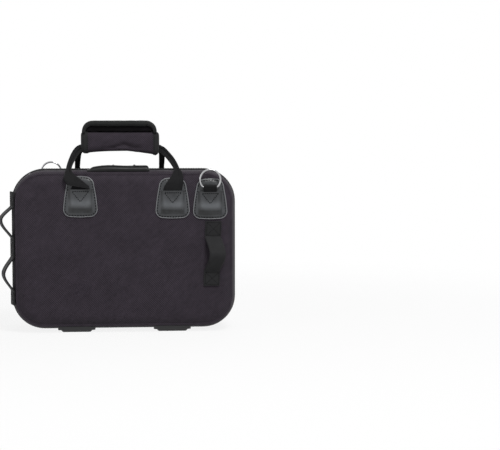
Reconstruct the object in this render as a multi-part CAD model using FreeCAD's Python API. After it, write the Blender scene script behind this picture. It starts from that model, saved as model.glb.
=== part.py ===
import FreeCAD, Part
import math
import os

# A soft-covered hard case for a clarinet, standing on its feet with its handle up.
# All lengths are in millimetres. While a piece is built, X runs along the case with zero at its
# middle, Y runs through its depth with zero at the zip, and Z runs up from the floor. At the end
# every piece moves by ORIGIN_SHIFT, so that the origin lies under the middle of the whole case.

# Case body
CASE_WIDTH = 356.0
CASE_HEIGHT = 254.0
CASE_CORNER = 50.0
BACK_DEPTH = 46.0
FRONT_DEPTH = 38.0
BACK_EDGE = 22.0
FRONT_EDGE = 12.0
SHELL_WALL = 5.0
SEWN_GAP = 0.2
OVERRUN = 5.0

# Zip round the case
RIM_SETBACK = 7.0
COIL_GAP = 0.8
COIL_WIDTH = 2.8
COIL_HEIGHT = 2.6
TAPE_THICKNESS = 0.9
TAPE_GAP = 0.1
BINDING_NEAR = 8.2
BINDING_FAR = 18.0
BINDING_THICKNESS = 1.6
HINGE_STRIP_THICKNESS = 1.3

# Zip sliders and pulls
SLIDER_LENGTH = 14.0
SLIDER_BACK = 5.2
SLIDER_FRONT = 4.4
SLIDER_PLATE = 1.7
SLIDER_CLEARANCE = 0.3
SLIDER_POST_WIDTH = 1.0
SLIDER_POST_LENGTH = 3.5
SLIDER_LIP = 1.1
SLIDER_PARK = 17.0
LUG_WIDTH = 2.4
LUG_RADIUS = 2.0
LUG_CORNER = 1.8
PIN_RADIUS = 0.8
PIN_CLEARANCE = 0.06
PIN_RISE = 1.6
PULL_LENGTH = 19.0
PULL_WIDTH = 7.6
PULL_THICKNESS = 1.6
PULL_END_RADIUS = 3.0
PULL_ARM_CORNER = 0.7
PULL_ARM_GAP = 0.4
PULL_ARM_LENGTH = 4.0

# Feet
FOOT_HEIGHT = 6.5
FOOT_SPREAD = 77.0
FOOT_BACK_PLACE = 25.0
FOOT_FRONT_PLACE = 21.0
FOOT_FLANGE_LENGTH = 60.0
FOOT_FLANGE_WIDTH = 19.0
FOOT_FLANGE_THICKNESS = 2.6
FOOT_FLANGE_CORNER = 5.0
FOOT_BASE_LENGTH = 52.0
FOOT_BASE_WIDTH = 13.0
FOOT_FACE_LENGTH = 45.0
FOOT_FACE_WIDTH = 9.0
FOOT_CORNER = 3.0

# Plush tray for the instrument
TRAY_TOP_DROP = 9.0
TRAY_FLOOR = 4.7
WELL_CORNER = 12.0
WELL_ROUND = 7.0
WELL_DIVIDER = 12.0
LOWER_JOINT_LENGTH = 274.0
LOWER_JOINT_WIDTH = 54.0
UPPER_JOINT_LENGTH = 244.0
UPPER_JOINT_WIDTH = 46.0
BELL_LENGTH = 112.0
BELL_WIDTH = 80.0
MOUTHPIECE_LENGTH = 96.0
MOUTHPIECE_WIDTH = 36.0
BARREL_LENGTH = 74.0
SMALL_BOX_LENGTH = 84.0

# Lining of the lid
LINING_THICKNESS = 2.0
LINING_TOP_DROP = 8.0

# Leather tabs
LEATHER_THICKNESS = 1.6
TAB_TOP_WIDTH = 43.0
TAB_BOTTOM_WIDTH = 53.6
TAB_ABOVE_SLOT = 19.0
TAB_BELOW_SLOT = 43.5
TAB_TOP_CORNER = 13.0
TAB_BOTTOM_CORNER = 11.0
TAB_RAISE = 3.2
TAB_RAISE_BASE_WIDTH = 38.0
TAB_RAISE_TOP_WIDTH = 33.6
TAB_RAISE_LENGTH = 32.0
TAB_RAISE_SLOPE = 6.0
TAB_RAISE_CORNER = 5.0
SLOT_WIDTH = 32.0
SLOT_DEPTH = 8.0
SLOT_COVER = 0.5
BACK_SLOT_DROP = 29.5
BACK_LEFT_SLOT_PLACE = 69.2
BACK_RIGHT_SLOT = 77.6
BACK_RING_INSET = 40.4
BACK_RING_DROP = 31.5
FRONT_SLOT_DROP = 29.5
FRONT_LEFT_SLOT_PLACE = 67.0
FRONT_RIGHT_SLOT = 66.0
FRONT_RING_INSET = 59.0
FRONT_RING_DROP = 21.5
FRONT_RING_TAB_NARROWING = 7.0
FRONT_RING_TAB_ABOVE = 13.0

# Handle webbing
WEBBING_WIDTH = 31.0
WEBBING_THICKNESS = 2.2
LEG_START_RISE = 0.9
LEG_FOLDED_WIDTH = 13.0
LEG_FOLDED_THICKNESS = 5.0
LEG_EDGE_STAND_OFF = 2.7
LEG_EDGE_ANGLE = 45.0
LEG_EDGE_STEPS = 3
LEG_BOW = 2.5
BACK_LEFT_LEG_SPREAD = 19.1
BACK_RIGHT_LEG_SPREAD = 5.9
FRONT_LEFT_LEG_SPREAD = 11.5
FRONT_RIGHT_LEG_SPREAD = -2.3
STRAP_PIVOT_STAND_OFF = 5.6

# Padded grip
GRIP_LENGTH = 125.9
GRIP_OFFSET = 4.65
GRIP_MIDDLE_PLACE = -2.0
GRIP_PARTING_GAP = 0.4
GRIP_RISE = 26.1
GRIP_ARCH = 4.8
GRIP_BACK_HEIGHT = 35.0
GRIP_BACK_SLOPE = 4.0
GRIP_FRONT_HEIGHT = 45.5
GRIP_HALF_THICKNESS = 15.0
GRIP_CORNER = 7.0
GRIP_FRONT_CORNER = 24.0
GRIP_EDGE = 5.0
CHANNEL_THICKNESS = 5.6
CHANNEL_HEIGHT = 16.0
CHANNEL_RISE = 8.5
CHANNEL_WALL = 4.6
BAND_CLEARANCE = 0.3
LEG_GRIP_DROP = 8.0
LEG_BESIDE_GRIP = 7.0
BAND_BESIDE_GRIP = 1.0
FLAP_THICKNESS = 3.0
FLAP_CREST_GAP = 4.9
FLAP_INSET = 2.5
FLAP_LIP = 14.0
FLAP_HINGE_DROP = 15.0
FLAP_ROUND = 8.0
FLAP_OVERHANG = 0.6
FLAP_CORNER = 17.0

# D-rings
RING_RADIUS = 16.3
RING_WIRE = 1.5
RING_BAR_DROP = 11.0
RING_BAR_CORNER = 4.0
RING_RISE = 5.7
RING_STAND_OFF = 7.0
RING_WEBBING_WIDTH = 19.0
RING_WEBBING_THICKNESS = 2.05
RING_RUNNING_GAP = 0.05

# Webbing strip with one loop, on the back
BACK_STRIP_INSET = 36.7
BACK_STRIP_WIDTH = 26.0
BACK_STRIP_DROP = 79.0
BACK_STRIP_UPPER_PATCH = 25.2
BACK_STRIP_LOOP = 55.2
BACK_STRIP_LOWER_PATCH = 23.8
BACK_STRIP_LOOP_REACH = 21.0

# Webbing strip with two loops, on the rounded left edge of the back half
SIDE_STRIP_TILT = 30.0
SIDE_STRIP_WIDTH = 22.0
SIDE_STRIP_DROP = 33.5
SIDE_STRIP_UPPER_PATCH = 23.7
SIDE_STRIP_UPPER_LOOP = 50.7
SIDE_STRIP_UPPER_REACH = 22.0
SIDE_STRIP_MIDDLE_PATCH = 30.3
SIDE_STRIP_LOWER_LOOP = 54.1
SIDE_STRIP_LOWER_REACH = 18.0
SIDE_STRIP_LOWER_PATCH = 22.9
LOOP_PEAK_RADIUS = 16.0
LOOP_FOOT_RADIUS = 14.0
LOOP_CREST_SHARE = 0.2
UPPER_LOOP_PEAK_SHARE = 0.46
LOOP_PEAK_SHARE = 0.5

# Padded leather patch on the top
PATCH_LENGTH = 95.9
PATCH_OFFSET = 6.65
PATCH_NEAR = 37.0
PATCH_FAR = 19.4
PATCH_THICKNESS = 6.6
PATCH_SLANT = 9.0

# Front pocket
POCKET_WIDTH = 334.0
POCKET_HEIGHT = 160.0
POCKET_CORNER = 40.0
POCKET_BOTTOM_INSET = 10.0
POCKET_GUSSET = 46.0
POCKET_WALL = 3.5
POCKET_BACKING = 1.2
POCKET_CROWN = 26.0
POCKET_FOLD_RISE = 60.0
POCKET_ZIP_SETBACK = 12.0
POCKET_RIM_FRONT = 6.0
PARTING_GAP = 0.3
PIPING_RADIUS = 1.8
POCKET_SLIDER_RISE = 12.0
# The crown is a stack of outlines: how far each is drawn in, as shares of the pocket's half width and
# half height, and how far it stands out, as a share of the crown's depth.
CROWN_SIDE_SHARES = (0.0, 0.075, 0.19, 0.36, 0.58, 0.80)
CROWN_TOP_SHARES = (0.0, 0.085, 0.21, 0.39, 0.61, 0.82)
CROWN_REACH_SHARES = (0.0, 0.24, 0.50, 0.76, 0.94, 1.0)
CROWN_CORNER_SHARES = (1.0, 0.95, 0.85, 0.70, 0.50, 0.26)

# Places worked out from the sizes
SHELL_BOTTOM = FOOT_HEIGHT
SHELL_TOP = FOOT_HEIGHT + CASE_HEIGHT
SHELL_MIDDLE = FOOT_HEIGHT + CASE_HEIGHT / 2
HALF_WIDTH = CASE_WIDTH / 2
STRAIGHT_HALF = CASE_WIDTH / 2 - CASE_CORNER
COIL_TOP = TAPE_GAP + COIL_HEIGHT
SLIDER_TOP = COIL_TOP + SLIDER_CLEARANCE + SLIDER_PLATE
PIN_LEVEL = SLIDER_TOP + PIN_RISE
FACE_OUT = SEWN_GAP + LEATHER_THICKNESS
RAISED_OUT = FACE_OUT + TAB_RAISE
POCKET_BOTTOM = SHELL_BOTTOM + POCKET_BOTTOM_INSET
POCKET_MIDDLE = POCKET_BOTTOM + POCKET_HEIGHT / 2
POCKET_BACK = FRONT_DEPTH + SEWN_GAP
POCKET_SEAM = POCKET_BACK + POCKET_GUSSET
POCKET_FRONT = POCKET_SEAM + POCKET_CROWN
POCKET_FOLD = POCKET_BOTTOM + POCKET_FOLD_RISE
POCKET_ZIP_PLACE = POCKET_SEAM - POCKET_ZIP_SETBACK
BACK_SLOT_LEVEL = SHELL_TOP - BACK_SLOT_DROP
BACK_LEFT_SLOT = -BACK_LEFT_SLOT_PLACE
BACK_RING_SLOT = HALF_WIDTH - BACK_RING_INSET
BACK_RING_LEVEL = SHELL_TOP - BACK_RING_DROP
FRONT_SLOT_LEVEL = SHELL_TOP - FRONT_SLOT_DROP
FRONT_LEFT_SLOT = -FRONT_LEFT_SLOT_PLACE
FRONT_RING_SLOT = -HALF_WIDTH + FRONT_RING_INSET
FRONT_RING_LEVEL = SHELL_TOP - FRONT_RING_DROP
GRIP_CENTRE = -GRIP_OFFSET
GRIP_LEFT = GRIP_CENTRE - GRIP_LENGTH / 2
GRIP_RIGHT = GRIP_CENTRE + GRIP_LENGTH / 2
GRIP_BOTTOM = SHELL_TOP + GRIP_RISE
FLAP_TOP = GRIP_BOTTOM + GRIP_FRONT_HEIGHT + FLAP_CREST_GAP + FLAP_THICKNESS
BACK_STRIP_PLACE = HALF_WIDTH - BACK_STRIP_INSET
BACK_STRIP_TOP = SHELL_TOP - BACK_STRIP_DROP
BACK_STRIP_LOOP_TOP = BACK_STRIP_TOP - BACK_STRIP_UPPER_PATCH
BACK_STRIP_LOOP_BOTTOM = BACK_STRIP_LOOP_TOP - BACK_STRIP_LOOP
SIDE_STRIP_TOP = SHELL_TOP - SIDE_STRIP_DROP
UPPER_LOOP_TOP = SIDE_STRIP_TOP - SIDE_STRIP_UPPER_PATCH
UPPER_LOOP_BOTTOM = UPPER_LOOP_TOP - SIDE_STRIP_UPPER_LOOP
LOWER_LOOP_TOP = UPPER_LOOP_BOTTOM - SIDE_STRIP_MIDDLE_PATCH
LOWER_LOOP_BOTTOM = LOWER_LOOP_TOP - SIDE_STRIP_LOWER_LOOP
CHANNEL_BOTTOM = GRIP_BOTTOM + CHANNEL_RISE
SIDE_STRIP_OUT = math.cos(math.radians(SIDE_STRIP_TILT))
SIDE_STRIP_IN = math.sin(math.radians(SIDE_STRIP_TILT))
SIDE_STRIP_REACH = (BACK_EDGE + SIDE_STRIP_UPPER_REACH) * SIDE_STRIP_OUT
REACH_LEFT = HALF_WIDTH - BACK_EDGE + SIDE_STRIP_REACH + SIDE_STRIP_WIDTH / 2 * SIDE_STRIP_IN
REACH_RIGHT = HALF_WIDTH + COIL_TOP
ORIGIN_X = (REACH_RIGHT - REACH_LEFT) / 2
ORIGIN_Y = (POCKET_FRONT - BACK_DEPTH - BACK_STRIP_LOOP_REACH) / 2
ORIGIN_SHIFT = (-ORIGIN_X, -ORIGIN_Y, 0.0)

BACK = -1
FRONT = 1
VANISHING = 1e-6


def vec(x, y, z):
    return FreeCAD.Vector(x, y, z)


def depth_of(side):
    return BACK_DEPTH if side == BACK else FRONT_DEPTH


def edge_of(side):
    return BACK_EDGE if side == BACK else FRONT_EDGE


def upright(y):
    """Carries a drawing's (u, v) to the upright plane at depth y."""
    return lambda u, v: vec(u, y, v)


def crosswise(x):
    """Carries a drawing's (u, v) to the plane across the case at x."""
    return lambda u, v: vec(x, u, v)


def level(z):
    """Carries a drawing's (u, v) to the level plane at height z."""
    return lambda u, v: vec(u, v, z)


def rounded_wire(points, radii, place):
    """A closed outline through the points, with each corner rounded by its radius, or all sharp."""
    count = len(points)
    radii = radii or [0] * count
    starts = []
    for i in range(count):
        corner = FreeCAD.Vector(points[i][0], points[i][1], 0)
        before = FreeCAD.Vector(points[i - 1][0], points[i - 1][1], 0) - corner
        after_point = points[(i + 1) % count]
        after = FreeCAD.Vector(after_point[0], after_point[1], 0) - corner
        before.normalize()
        after.normalize()
        if radii[i] <= 0:
            starts.append((corner, None, corner))
            continue
        half = before.getAngle(after) / 2
        run = radii[i] / math.tan(half)
        bisector = before + after
        bisector.normalize()
        middle = corner + bisector * (radii[i] / math.sin(half) - radii[i])
        starts.append((corner + before * run, middle, corner + after * run))
    edges = []
    for i in range(count):
        first, middle, last = starts[i]
        following = starts[(i + 1) % count][0]
        if middle is not None:
            edges.append(Part.Arc(place(first.x, first.y), place(middle.x, middle.y),
                                  place(last.x, last.y)).toShape())
        if (following - last).Length > VANISHING:
            edges.append(Part.LineSegment(place(last.x, last.y),
                                          place(following.x, following.y)).toShape())
    return Part.Wire(edges)


def rectangle_points(left, right, bottom, top):
    return [(left, bottom), (right, bottom), (right, top), (left, top)]


def prism(points, radii, place, along):
    """A solid drawn from a rounded outline and pushed along a vector."""
    return Part.Face(rounded_wire(points, radii, place)).extrude(along)


def box(x0, x1, y0, y1, z0, z1):
    """A plain box between two corners, given in any order."""
    low = vec(min(x0, x1), min(y0, y1), min(z0, z1))
    return Part.makeBox(abs(x1 - x0), abs(y1 - y0), abs(z1 - z0), low)


def ribbon_points(line, half):
    """The two edges of a flat band of the given half thickness that follows a line of points."""
    left = []
    right = []
    for i, (u, v) in enumerate(line):
        before = line[max(i - 1, 0)]
        after = line[min(i + 1, len(line) - 1)]
        into = FreeCAD.Vector(u - before[0], v - before[1], 0)
        out = FreeCAD.Vector(after[0] - u, after[1] - v, 0)
        if i == 0:
            into = out
        if i == len(line) - 1:
            out = into
        into.normalize()
        out.normalize()
        normal = FreeCAD.Vector(-into.y - out.y, into.x + out.x, 0)
        normal.normalize()
        reach = half / (normal.x * -into.y + normal.y * into.x)
        left.append((u + normal.x * reach, v + normal.y * reach))
        right.append((u - normal.x * reach, v - normal.y * reach))
    return left, right


def ribbon(line, radii, half, place, along):
    """A flat band of webbing that follows a line with rounded turns, pushed along its width."""
    left, right = ribbon_points(line, half)
    left_radii = []
    right_radii = []
    for i, radius in enumerate(radii):
        if radius <= 0:
            left_radii.append(0)
            right_radii.append(0)
            continue
        before, here, after = line[i - 1], line[i], line[i + 1]
        turn = (here[0] - before[0]) * (after[1] - here[1]) - (here[1] - before[1]) * (after[0] - here[0])
        grow = -half if turn > 0 else half
        left_radii.append(radius + grow)
        right_radii.append(radius - grow)
    return prism(left + right[::-1], left_radii + right_radii[::-1], place, along)


# Case halves

def case_block(side, offset=0.0, rim=RIM_SETBACK):
    """One half of the case as a full block, grown by an offset on every side but the rim."""
    reach = HALF_WIDTH + offset
    low = SHELL_BOTTOM - offset
    high = SHELL_TOP + offset
    face_place = side * (depth_of(side) + offset)
    block = prism(rectangle_points(-reach, reach, low, high), [CASE_CORNER + offset] * 4,
                  upright(side * rim), vec(0, face_place - side * rim, 0))
    rounded = [edge for edge in block.Edges
               if all(abs(vertex.Y - face_place) < VANISHING for vertex in edge.Vertexes)]
    return block.makeFillet(edge_of(side) + offset, rounded)


def case_ring(offset, y0, y1):
    """A slab with the outline of the case, grown by an offset, between two depths."""
    reach = HALF_WIDTH + offset
    return prism(rectangle_points(-reach, reach, SHELL_BOTTOM - offset, SHELL_TOP + offset),
                 [CASE_CORNER + offset] * 4, upright(y0), vec(0, y1 - y0, 0))


def rim_band(inner, outer, y0, y1):
    """A band round the case between two offsets from its wall."""
    return case_ring(outer, y0, y1).cut(case_ring(inner, y0, y1))


def hinge_gap_box(y0, y1):
    """The straight stretch along the bottom where the hinge strip takes the zip's place."""
    return box(-STRAIGHT_HALF, STRAIGHT_HALF, y0, y1, -OVERRUN, SHELL_BOTTOM + SHELL_WALL)


def shell(side):
    hollow = case_block(side, -SHELL_WALL, rim=0.0)
    return case_block(side).cut(hollow)


def binding(side):
    return rim_band(SEWN_GAP, BINDING_THICKNESS + SEWN_GAP, side * BINDING_NEAR, side * BINDING_FAR)


def zip_tape(side):
    near = side * (COIL_GAP + COIL_WIDTH + TAPE_GAP)
    far = side * (BINDING_NEAR - TAPE_GAP)
    band = rim_band(TAPE_GAP + SEWN_GAP, TAPE_GAP + SEWN_GAP + TAPE_THICKNESS, near, far)
    return band.cut(hinge_gap_box(-BACK_DEPTH, FRONT_DEPTH))


def zip_coil(side):
    near = side * COIL_GAP
    far = side * (COIL_GAP + COIL_WIDTH)
    band = rim_band(TAPE_GAP + SEWN_GAP, COIL_TOP, near, far)
    return band.cut(hinge_gap_box(-BACK_DEPTH, FRONT_DEPTH))


def hinge_strip(side):
    """Half of the fabric strip that joins the two halves along the bottom."""
    inset = STRAIGHT_HALF - TAPE_GAP
    top = SHELL_BOTTOM - SEWN_GAP
    return box(-inset, inset, side * PARTING_GAP / 2, side * (BINDING_NEAR - TAPE_GAP),
               top - HINGE_STRIP_THICKNESS, top)


def lid_lining():
    outer = case_block(FRONT, -SHELL_WALL - SEWN_GAP, rim=LINING_TOP_DROP)
    inner = case_block(FRONT, -SHELL_WALL - SEWN_GAP - LINING_THICKNESS, rim=0.0)
    return outer.cut(inner)


# Instrument tray

def well_rows():
    """Each well by name, with its left, right, bottom and top, stacked in three rows."""
    stack = LOWER_JOINT_WIDTH + UPPER_JOINT_WIDTH + BELL_WIDTH + 2 * WELL_DIVIDER
    low = SHELL_MIDDLE - stack / 2
    middle_row = low + LOWER_JOINT_WIDTH + WELL_DIVIDER
    top_row = middle_row + UPPER_JOINT_WIDTH + WELL_DIVIDER
    top_length = BELL_LENGTH + MOUTHPIECE_LENGTH + SMALL_BOX_LENGTH + 2 * WELL_DIVIDER
    bell_left = -top_length / 2
    mouthpiece_left = bell_left + BELL_LENGTH + WELL_DIVIDER
    small_left = mouthpiece_left + MOUTHPIECE_LENGTH + WELL_DIVIDER
    barrel_width = BELL_WIDTH - MOUTHPIECE_WIDTH - WELL_DIVIDER
    return {
        "lower_joint": (-LOWER_JOINT_LENGTH / 2, LOWER_JOINT_LENGTH / 2, low, low + LOWER_JOINT_WIDTH),
        "upper_joint": (-UPPER_JOINT_LENGTH / 2, UPPER_JOINT_LENGTH / 2, middle_row,
                        middle_row + UPPER_JOINT_WIDTH),
        "bell": (bell_left, bell_left + BELL_LENGTH, top_row, top_row + BELL_WIDTH),
        "barrel": (mouthpiece_left, mouthpiece_left + BARREL_LENGTH, top_row, top_row + barrel_width),
        "mouthpiece": (mouthpiece_left, mouthpiece_left + MOUTHPIECE_LENGTH,
                       top_row + BELL_WIDTH - MOUTHPIECE_WIDTH, top_row + BELL_WIDTH),
        "small_box": (small_left, small_left + SMALL_BOX_LENGTH, top_row, top_row + BELL_WIDTH),
    }


def tray_floor():
    """Depth of the bottom of the wells."""
    return -(BACK_DEPTH - SHELL_WALL - SEWN_GAP - TRAY_FLOOR)


def well_space(bounds):
    left, right, bottom, top = bounds
    mouth = -TRAY_TOP_DROP + OVERRUN
    floor = tray_floor()
    space = prism(rectangle_points(left, right, bottom, top), [WELL_CORNER] * 4, upright(mouth),
                  vec(0, floor - mouth, 0))
    lower = [edge for edge in space.Edges
             if all(abs(vertex.Y - floor) < VANISHING for vertex in edge.Vertexes)]
    return space.makeFillet(WELL_ROUND, lower)


def instrument_tray():
    tray = case_block(BACK, -SHELL_WALL - SEWN_GAP, rim=TRAY_TOP_DROP)
    for bounds in well_rows().values():
        tray = tray.cut(well_space(bounds))
    return tray


# Leather tabs with the webbing that is sewn into them

def skin(side, inner, outer, cutter):
    """A layer that follows the case's surface between two offsets, inside a cutter."""
    return case_block(side, outer).cut(case_block(side, inner)).common(cutter)


def tab(side, slot_place, slot_level, narrowing=0.0, above=TAB_ABOVE_SLOT):
    """A leather tab, raised over the webbing end, with a mouth where the webbing comes out."""
    bottom = slot_level - TAB_BELOW_SLOT
    top = slot_level + above
    top_half = (TAB_TOP_WIDTH - narrowing) / 2
    bottom_half = (TAB_BOTTOM_WIDTH - narrowing) / 2
    outline = [(slot_place - bottom_half, bottom), (slot_place + bottom_half, bottom),
               (slot_place + top_half, top), (slot_place - top_half, top)]
    corners = [TAB_BOTTOM_CORNER, TAB_BOTTOM_CORNER, TAB_TOP_CORNER, TAB_TOP_CORNER]
    face = side * depth_of(side)
    cutter = prism(outline, corners, upright(face - side * edge_of(side)),
                   vec(0, side * (edge_of(side) + OVERRUN), 0))
    leather = skin(side, SEWN_GAP, FACE_OUT, cutter)
    base_half = (TAB_RAISE_BASE_WIDTH - narrowing) / 2
    raised_half = (TAB_RAISE_TOP_WIDTH - narrowing / 2) / 2
    raised_bottom = slot_level - TAB_RAISE_LENGTH
    base = rounded_wire(rectangle_points(slot_place - base_half, slot_place + base_half, raised_bottom,
                                         slot_level),
                        [TAB_RAISE_CORNER] * 2 + [TAB_RAISE_CORNER / 4] * 2,
                        upright(face + side * SEWN_GAP))
    raised = rounded_wire(rectangle_points(slot_place - raised_half, slot_place + raised_half,
                                           raised_bottom + TAB_RAISE_SLOPE, slot_level),
                          [TAB_RAISE_CORNER] * 2 + [TAB_RAISE_CORNER / 4] * 2,
                          upright(face + side * RAISED_OUT))
    swell = Part.makeLoft([base, raised], True, True)
    mouth = box(slot_place - SLOT_WIDTH / 2, slot_place + SLOT_WIDTH / 2,
                face + side * FACE_OUT, face + side * (RAISED_OUT - SLOT_COVER),
                slot_level - SLOT_DEPTH, slot_level + OVERRUN)
    return leather.fuse(swell).cut(mouth).removeSplitter()


def strap_end(side, slot_place, slot_level):
    """The sewn end of the handle webbing, which sticks out of the tab's mouth."""
    face = side * depth_of(side)
    near = FACE_OUT + SEWN_GAP
    return box(slot_place - WEBBING_WIDTH / 2, slot_place + WEBBING_WIDTH / 2,
               face + side * near, face + side * (near + WEBBING_THICKNESS),
               slot_level - SLOT_DEPTH + SEWN_GAP, slot_level + LEG_START_RISE / 2)


def strap_ends(side, places, slot_level):
    return Part.makeCompound([strap_end(side, place, slot_level) for place in places])


# D-rings and the webbing that holds them

def ring_pivot(side, slot_level):
    """Depth and height of the ring's straight bar."""
    return side * (depth_of(side) + RING_STAND_OFF), slot_level + RING_RISE


def ring(side, slot_place, slot_level):
    """A round wire ring, closed along the bottom by a straight bar."""
    y, bar_level = ring_pivot(side, slot_level)
    centre_level = bar_level + RING_BAR_DROP
    corner_reach = RING_RADIUS - RING_BAR_CORNER
    corner_rise = RING_BAR_DROP - RING_BAR_CORNER
    corner_half = math.sqrt(corner_reach ** 2 - corner_rise ** 2)
    touch_half = corner_half * RING_RADIUS / corner_reach
    touch_drop = corner_rise * RING_RADIUS / corner_reach
    corner_level = bar_level + RING_BAR_CORNER
    blend = math.atan2(corner_rise, corner_half)
    middle_angle = (blend + math.pi / 2) / 2
    corner_middle_half = corner_half + RING_BAR_CORNER * math.cos(middle_angle)
    corner_middle_level = corner_level - RING_BAR_CORNER * math.sin(middle_angle)
    right_touch = vec(slot_place + touch_half, y, centre_level - touch_drop)
    left_touch = vec(slot_place - touch_half, y, centre_level - touch_drop)
    right_side = vec(slot_place + RING_RADIUS, y, centre_level)
    left_side = vec(slot_place - RING_RADIUS, y, centre_level)
    crown = vec(slot_place, y, centre_level + RING_RADIUS)
    right_foot = vec(slot_place + corner_half, y, bar_level)
    left_foot = vec(slot_place - corner_half, y, bar_level)
    upper = Part.Arc(right_side, crown, left_side).toShape()
    flank_angle = blend / 2
    flank_half = RING_RADIUS * math.cos(flank_angle)
    flank_drop = RING_RADIUS * math.sin(flank_angle)
    left_flank = Part.Arc(left_side, vec(slot_place - flank_half, y, centre_level - flank_drop),
                          left_touch).toShape()
    right_flank = Part.Arc(right_touch, vec(slot_place + flank_half, y, centre_level - flank_drop),
                           right_side).toShape()
    left_corner = Part.Arc(left_touch, vec(slot_place - corner_middle_half, y, corner_middle_level),
                           left_foot).toShape()
    right_corner = Part.Arc(right_foot, vec(slot_place + corner_middle_half, y, corner_middle_level),
                            right_touch).toShape()
    bar = Part.LineSegment(left_foot, right_foot).toShape()
    path = Part.Wire([upper, left_flank, left_corner, bar, right_corner, right_flank])
    section = Part.Wire([Part.makeCircle(RING_WIRE, right_side, vec(0, 0, 1))])
    return path.makePipeShell([section], True, True)


def ring_webbing(side, slot_place, slot_level):
    """The short webbing loop that goes round the ring's bar and into the tab."""
    y, bar_level = ring_pivot(side, slot_level)
    face = side * depth_of(side)
    left = slot_place - RING_WEBBING_WIDTH / 2
    inner = RING_WIRE + RING_RUNNING_GAP
    across = vec(1, 0, 0)
    round_part = Part.makeCylinder(inner + RING_WEBBING_THICKNESS, RING_WEBBING_WIDTH,
                                   vec(left, y, bar_level), across)
    near = face + side * (FACE_OUT + SEWN_GAP)
    tongue = prism([(near, slot_level - SLOT_DEPTH + SEWN_GAP),
                    (face + side * (RAISED_OUT - SLOT_COVER - SEWN_GAP), slot_level - SLOT_DEPTH + SEWN_GAP),
                    (face + side * (RAISED_OUT - SLOT_COVER - SEWN_GAP), slot_level + LEG_START_RISE),
                    (y + side * inner, bar_level), (y - side * inner, bar_level),
                    (near, slot_level + LEG_START_RISE)],
                   None, crosswise(left), vec(RING_WEBBING_WIDTH, 0, 0))
    hole = Part.makeCylinder(inner, RING_WEBBING_WIDTH + 2 * OVERRUN,
                             vec(left - OVERRUN, y, bar_level), across)
    return round_part.fuse(tongue).cut(hole).removeSplitter()


# Handle straps

def strap_pivot(side, slot_level):
    """Depth and height of the line about which a strap folds down."""
    return side * (depth_of(side) + STRAP_PIVOT_STAND_OFF), slot_level + LEG_START_RISE / 2


def channel_depths(side):
    """Near and far depth of the channel in one half of the grip."""
    parting = GRIP_MIDDLE_PLACE + side * GRIP_PARTING_GAP / 2
    near = parting + side * CHANNEL_WALL
    return near, near + side * CHANNEL_THICKNESS


def faceted_solid(sections):
    """A solid with flat facets between the matching corners of neighbouring sections."""
    faces = [Part.Face(Part.makePolygon(ends + ends[:1])) for ends in (sections[0], sections[-1])]
    for lower, upper in zip(sections, sections[1:]):
        for i in range(len(lower)):
            j = (i + 1) % len(lower)
            faces.append(Part.Face(Part.makePolygon([lower[i], lower[j], upper[j], lower[i]])))
            faces.append(Part.Face(Part.makePolygon([lower[i], upper[j], upper[i], lower[i]])))
    shell_of_faces = Part.makeShell(faces)
    shell_of_faces.sewShape()
    solid = Part.makeSolid(shell_of_faces)
    if solid.Volume < 0:
        solid.reverse()
    return solid


def section_points(x, y, z, width, thickness, lean):
    """A flat section of webbing: its width along X, its thickness square to a lean from upright."""
    half = vec(width / 2, 0, 0)
    back = vec(0, math.cos(lean), math.sin(lean)) * (thickness / 2)
    middle = vec(x, y, z)
    return [middle - half - back, middle + half - back, middle + half + back, middle - half + back]


def band_bounds(side):
    """Near and far depth, bottom and top of the band that runs through the grip."""
    near, far = channel_depths(side)
    return (near + side * BAND_CLEARANCE, far - side * BAND_CLEARANCE, CHANNEL_BOTTOM + BAND_CLEARANCE,
            CHANNEL_BOTTOM + CHANNEL_HEIGHT - BAND_CLEARANCE)


def band_end_points(side, x, outward):
    """The end of the band, in the order that turns a leg's outer edge into the band's top."""
    near, far, bottom, top = band_bounds(side)
    low_y, high_y = min(near, far), max(near, far)
    first, second = (top, bottom) if outward < 0 else (bottom, top)
    return [vec(x, low_y, first), vec(x, low_y, second), vec(x, high_y, second), vec(x, high_y, first)]


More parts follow.
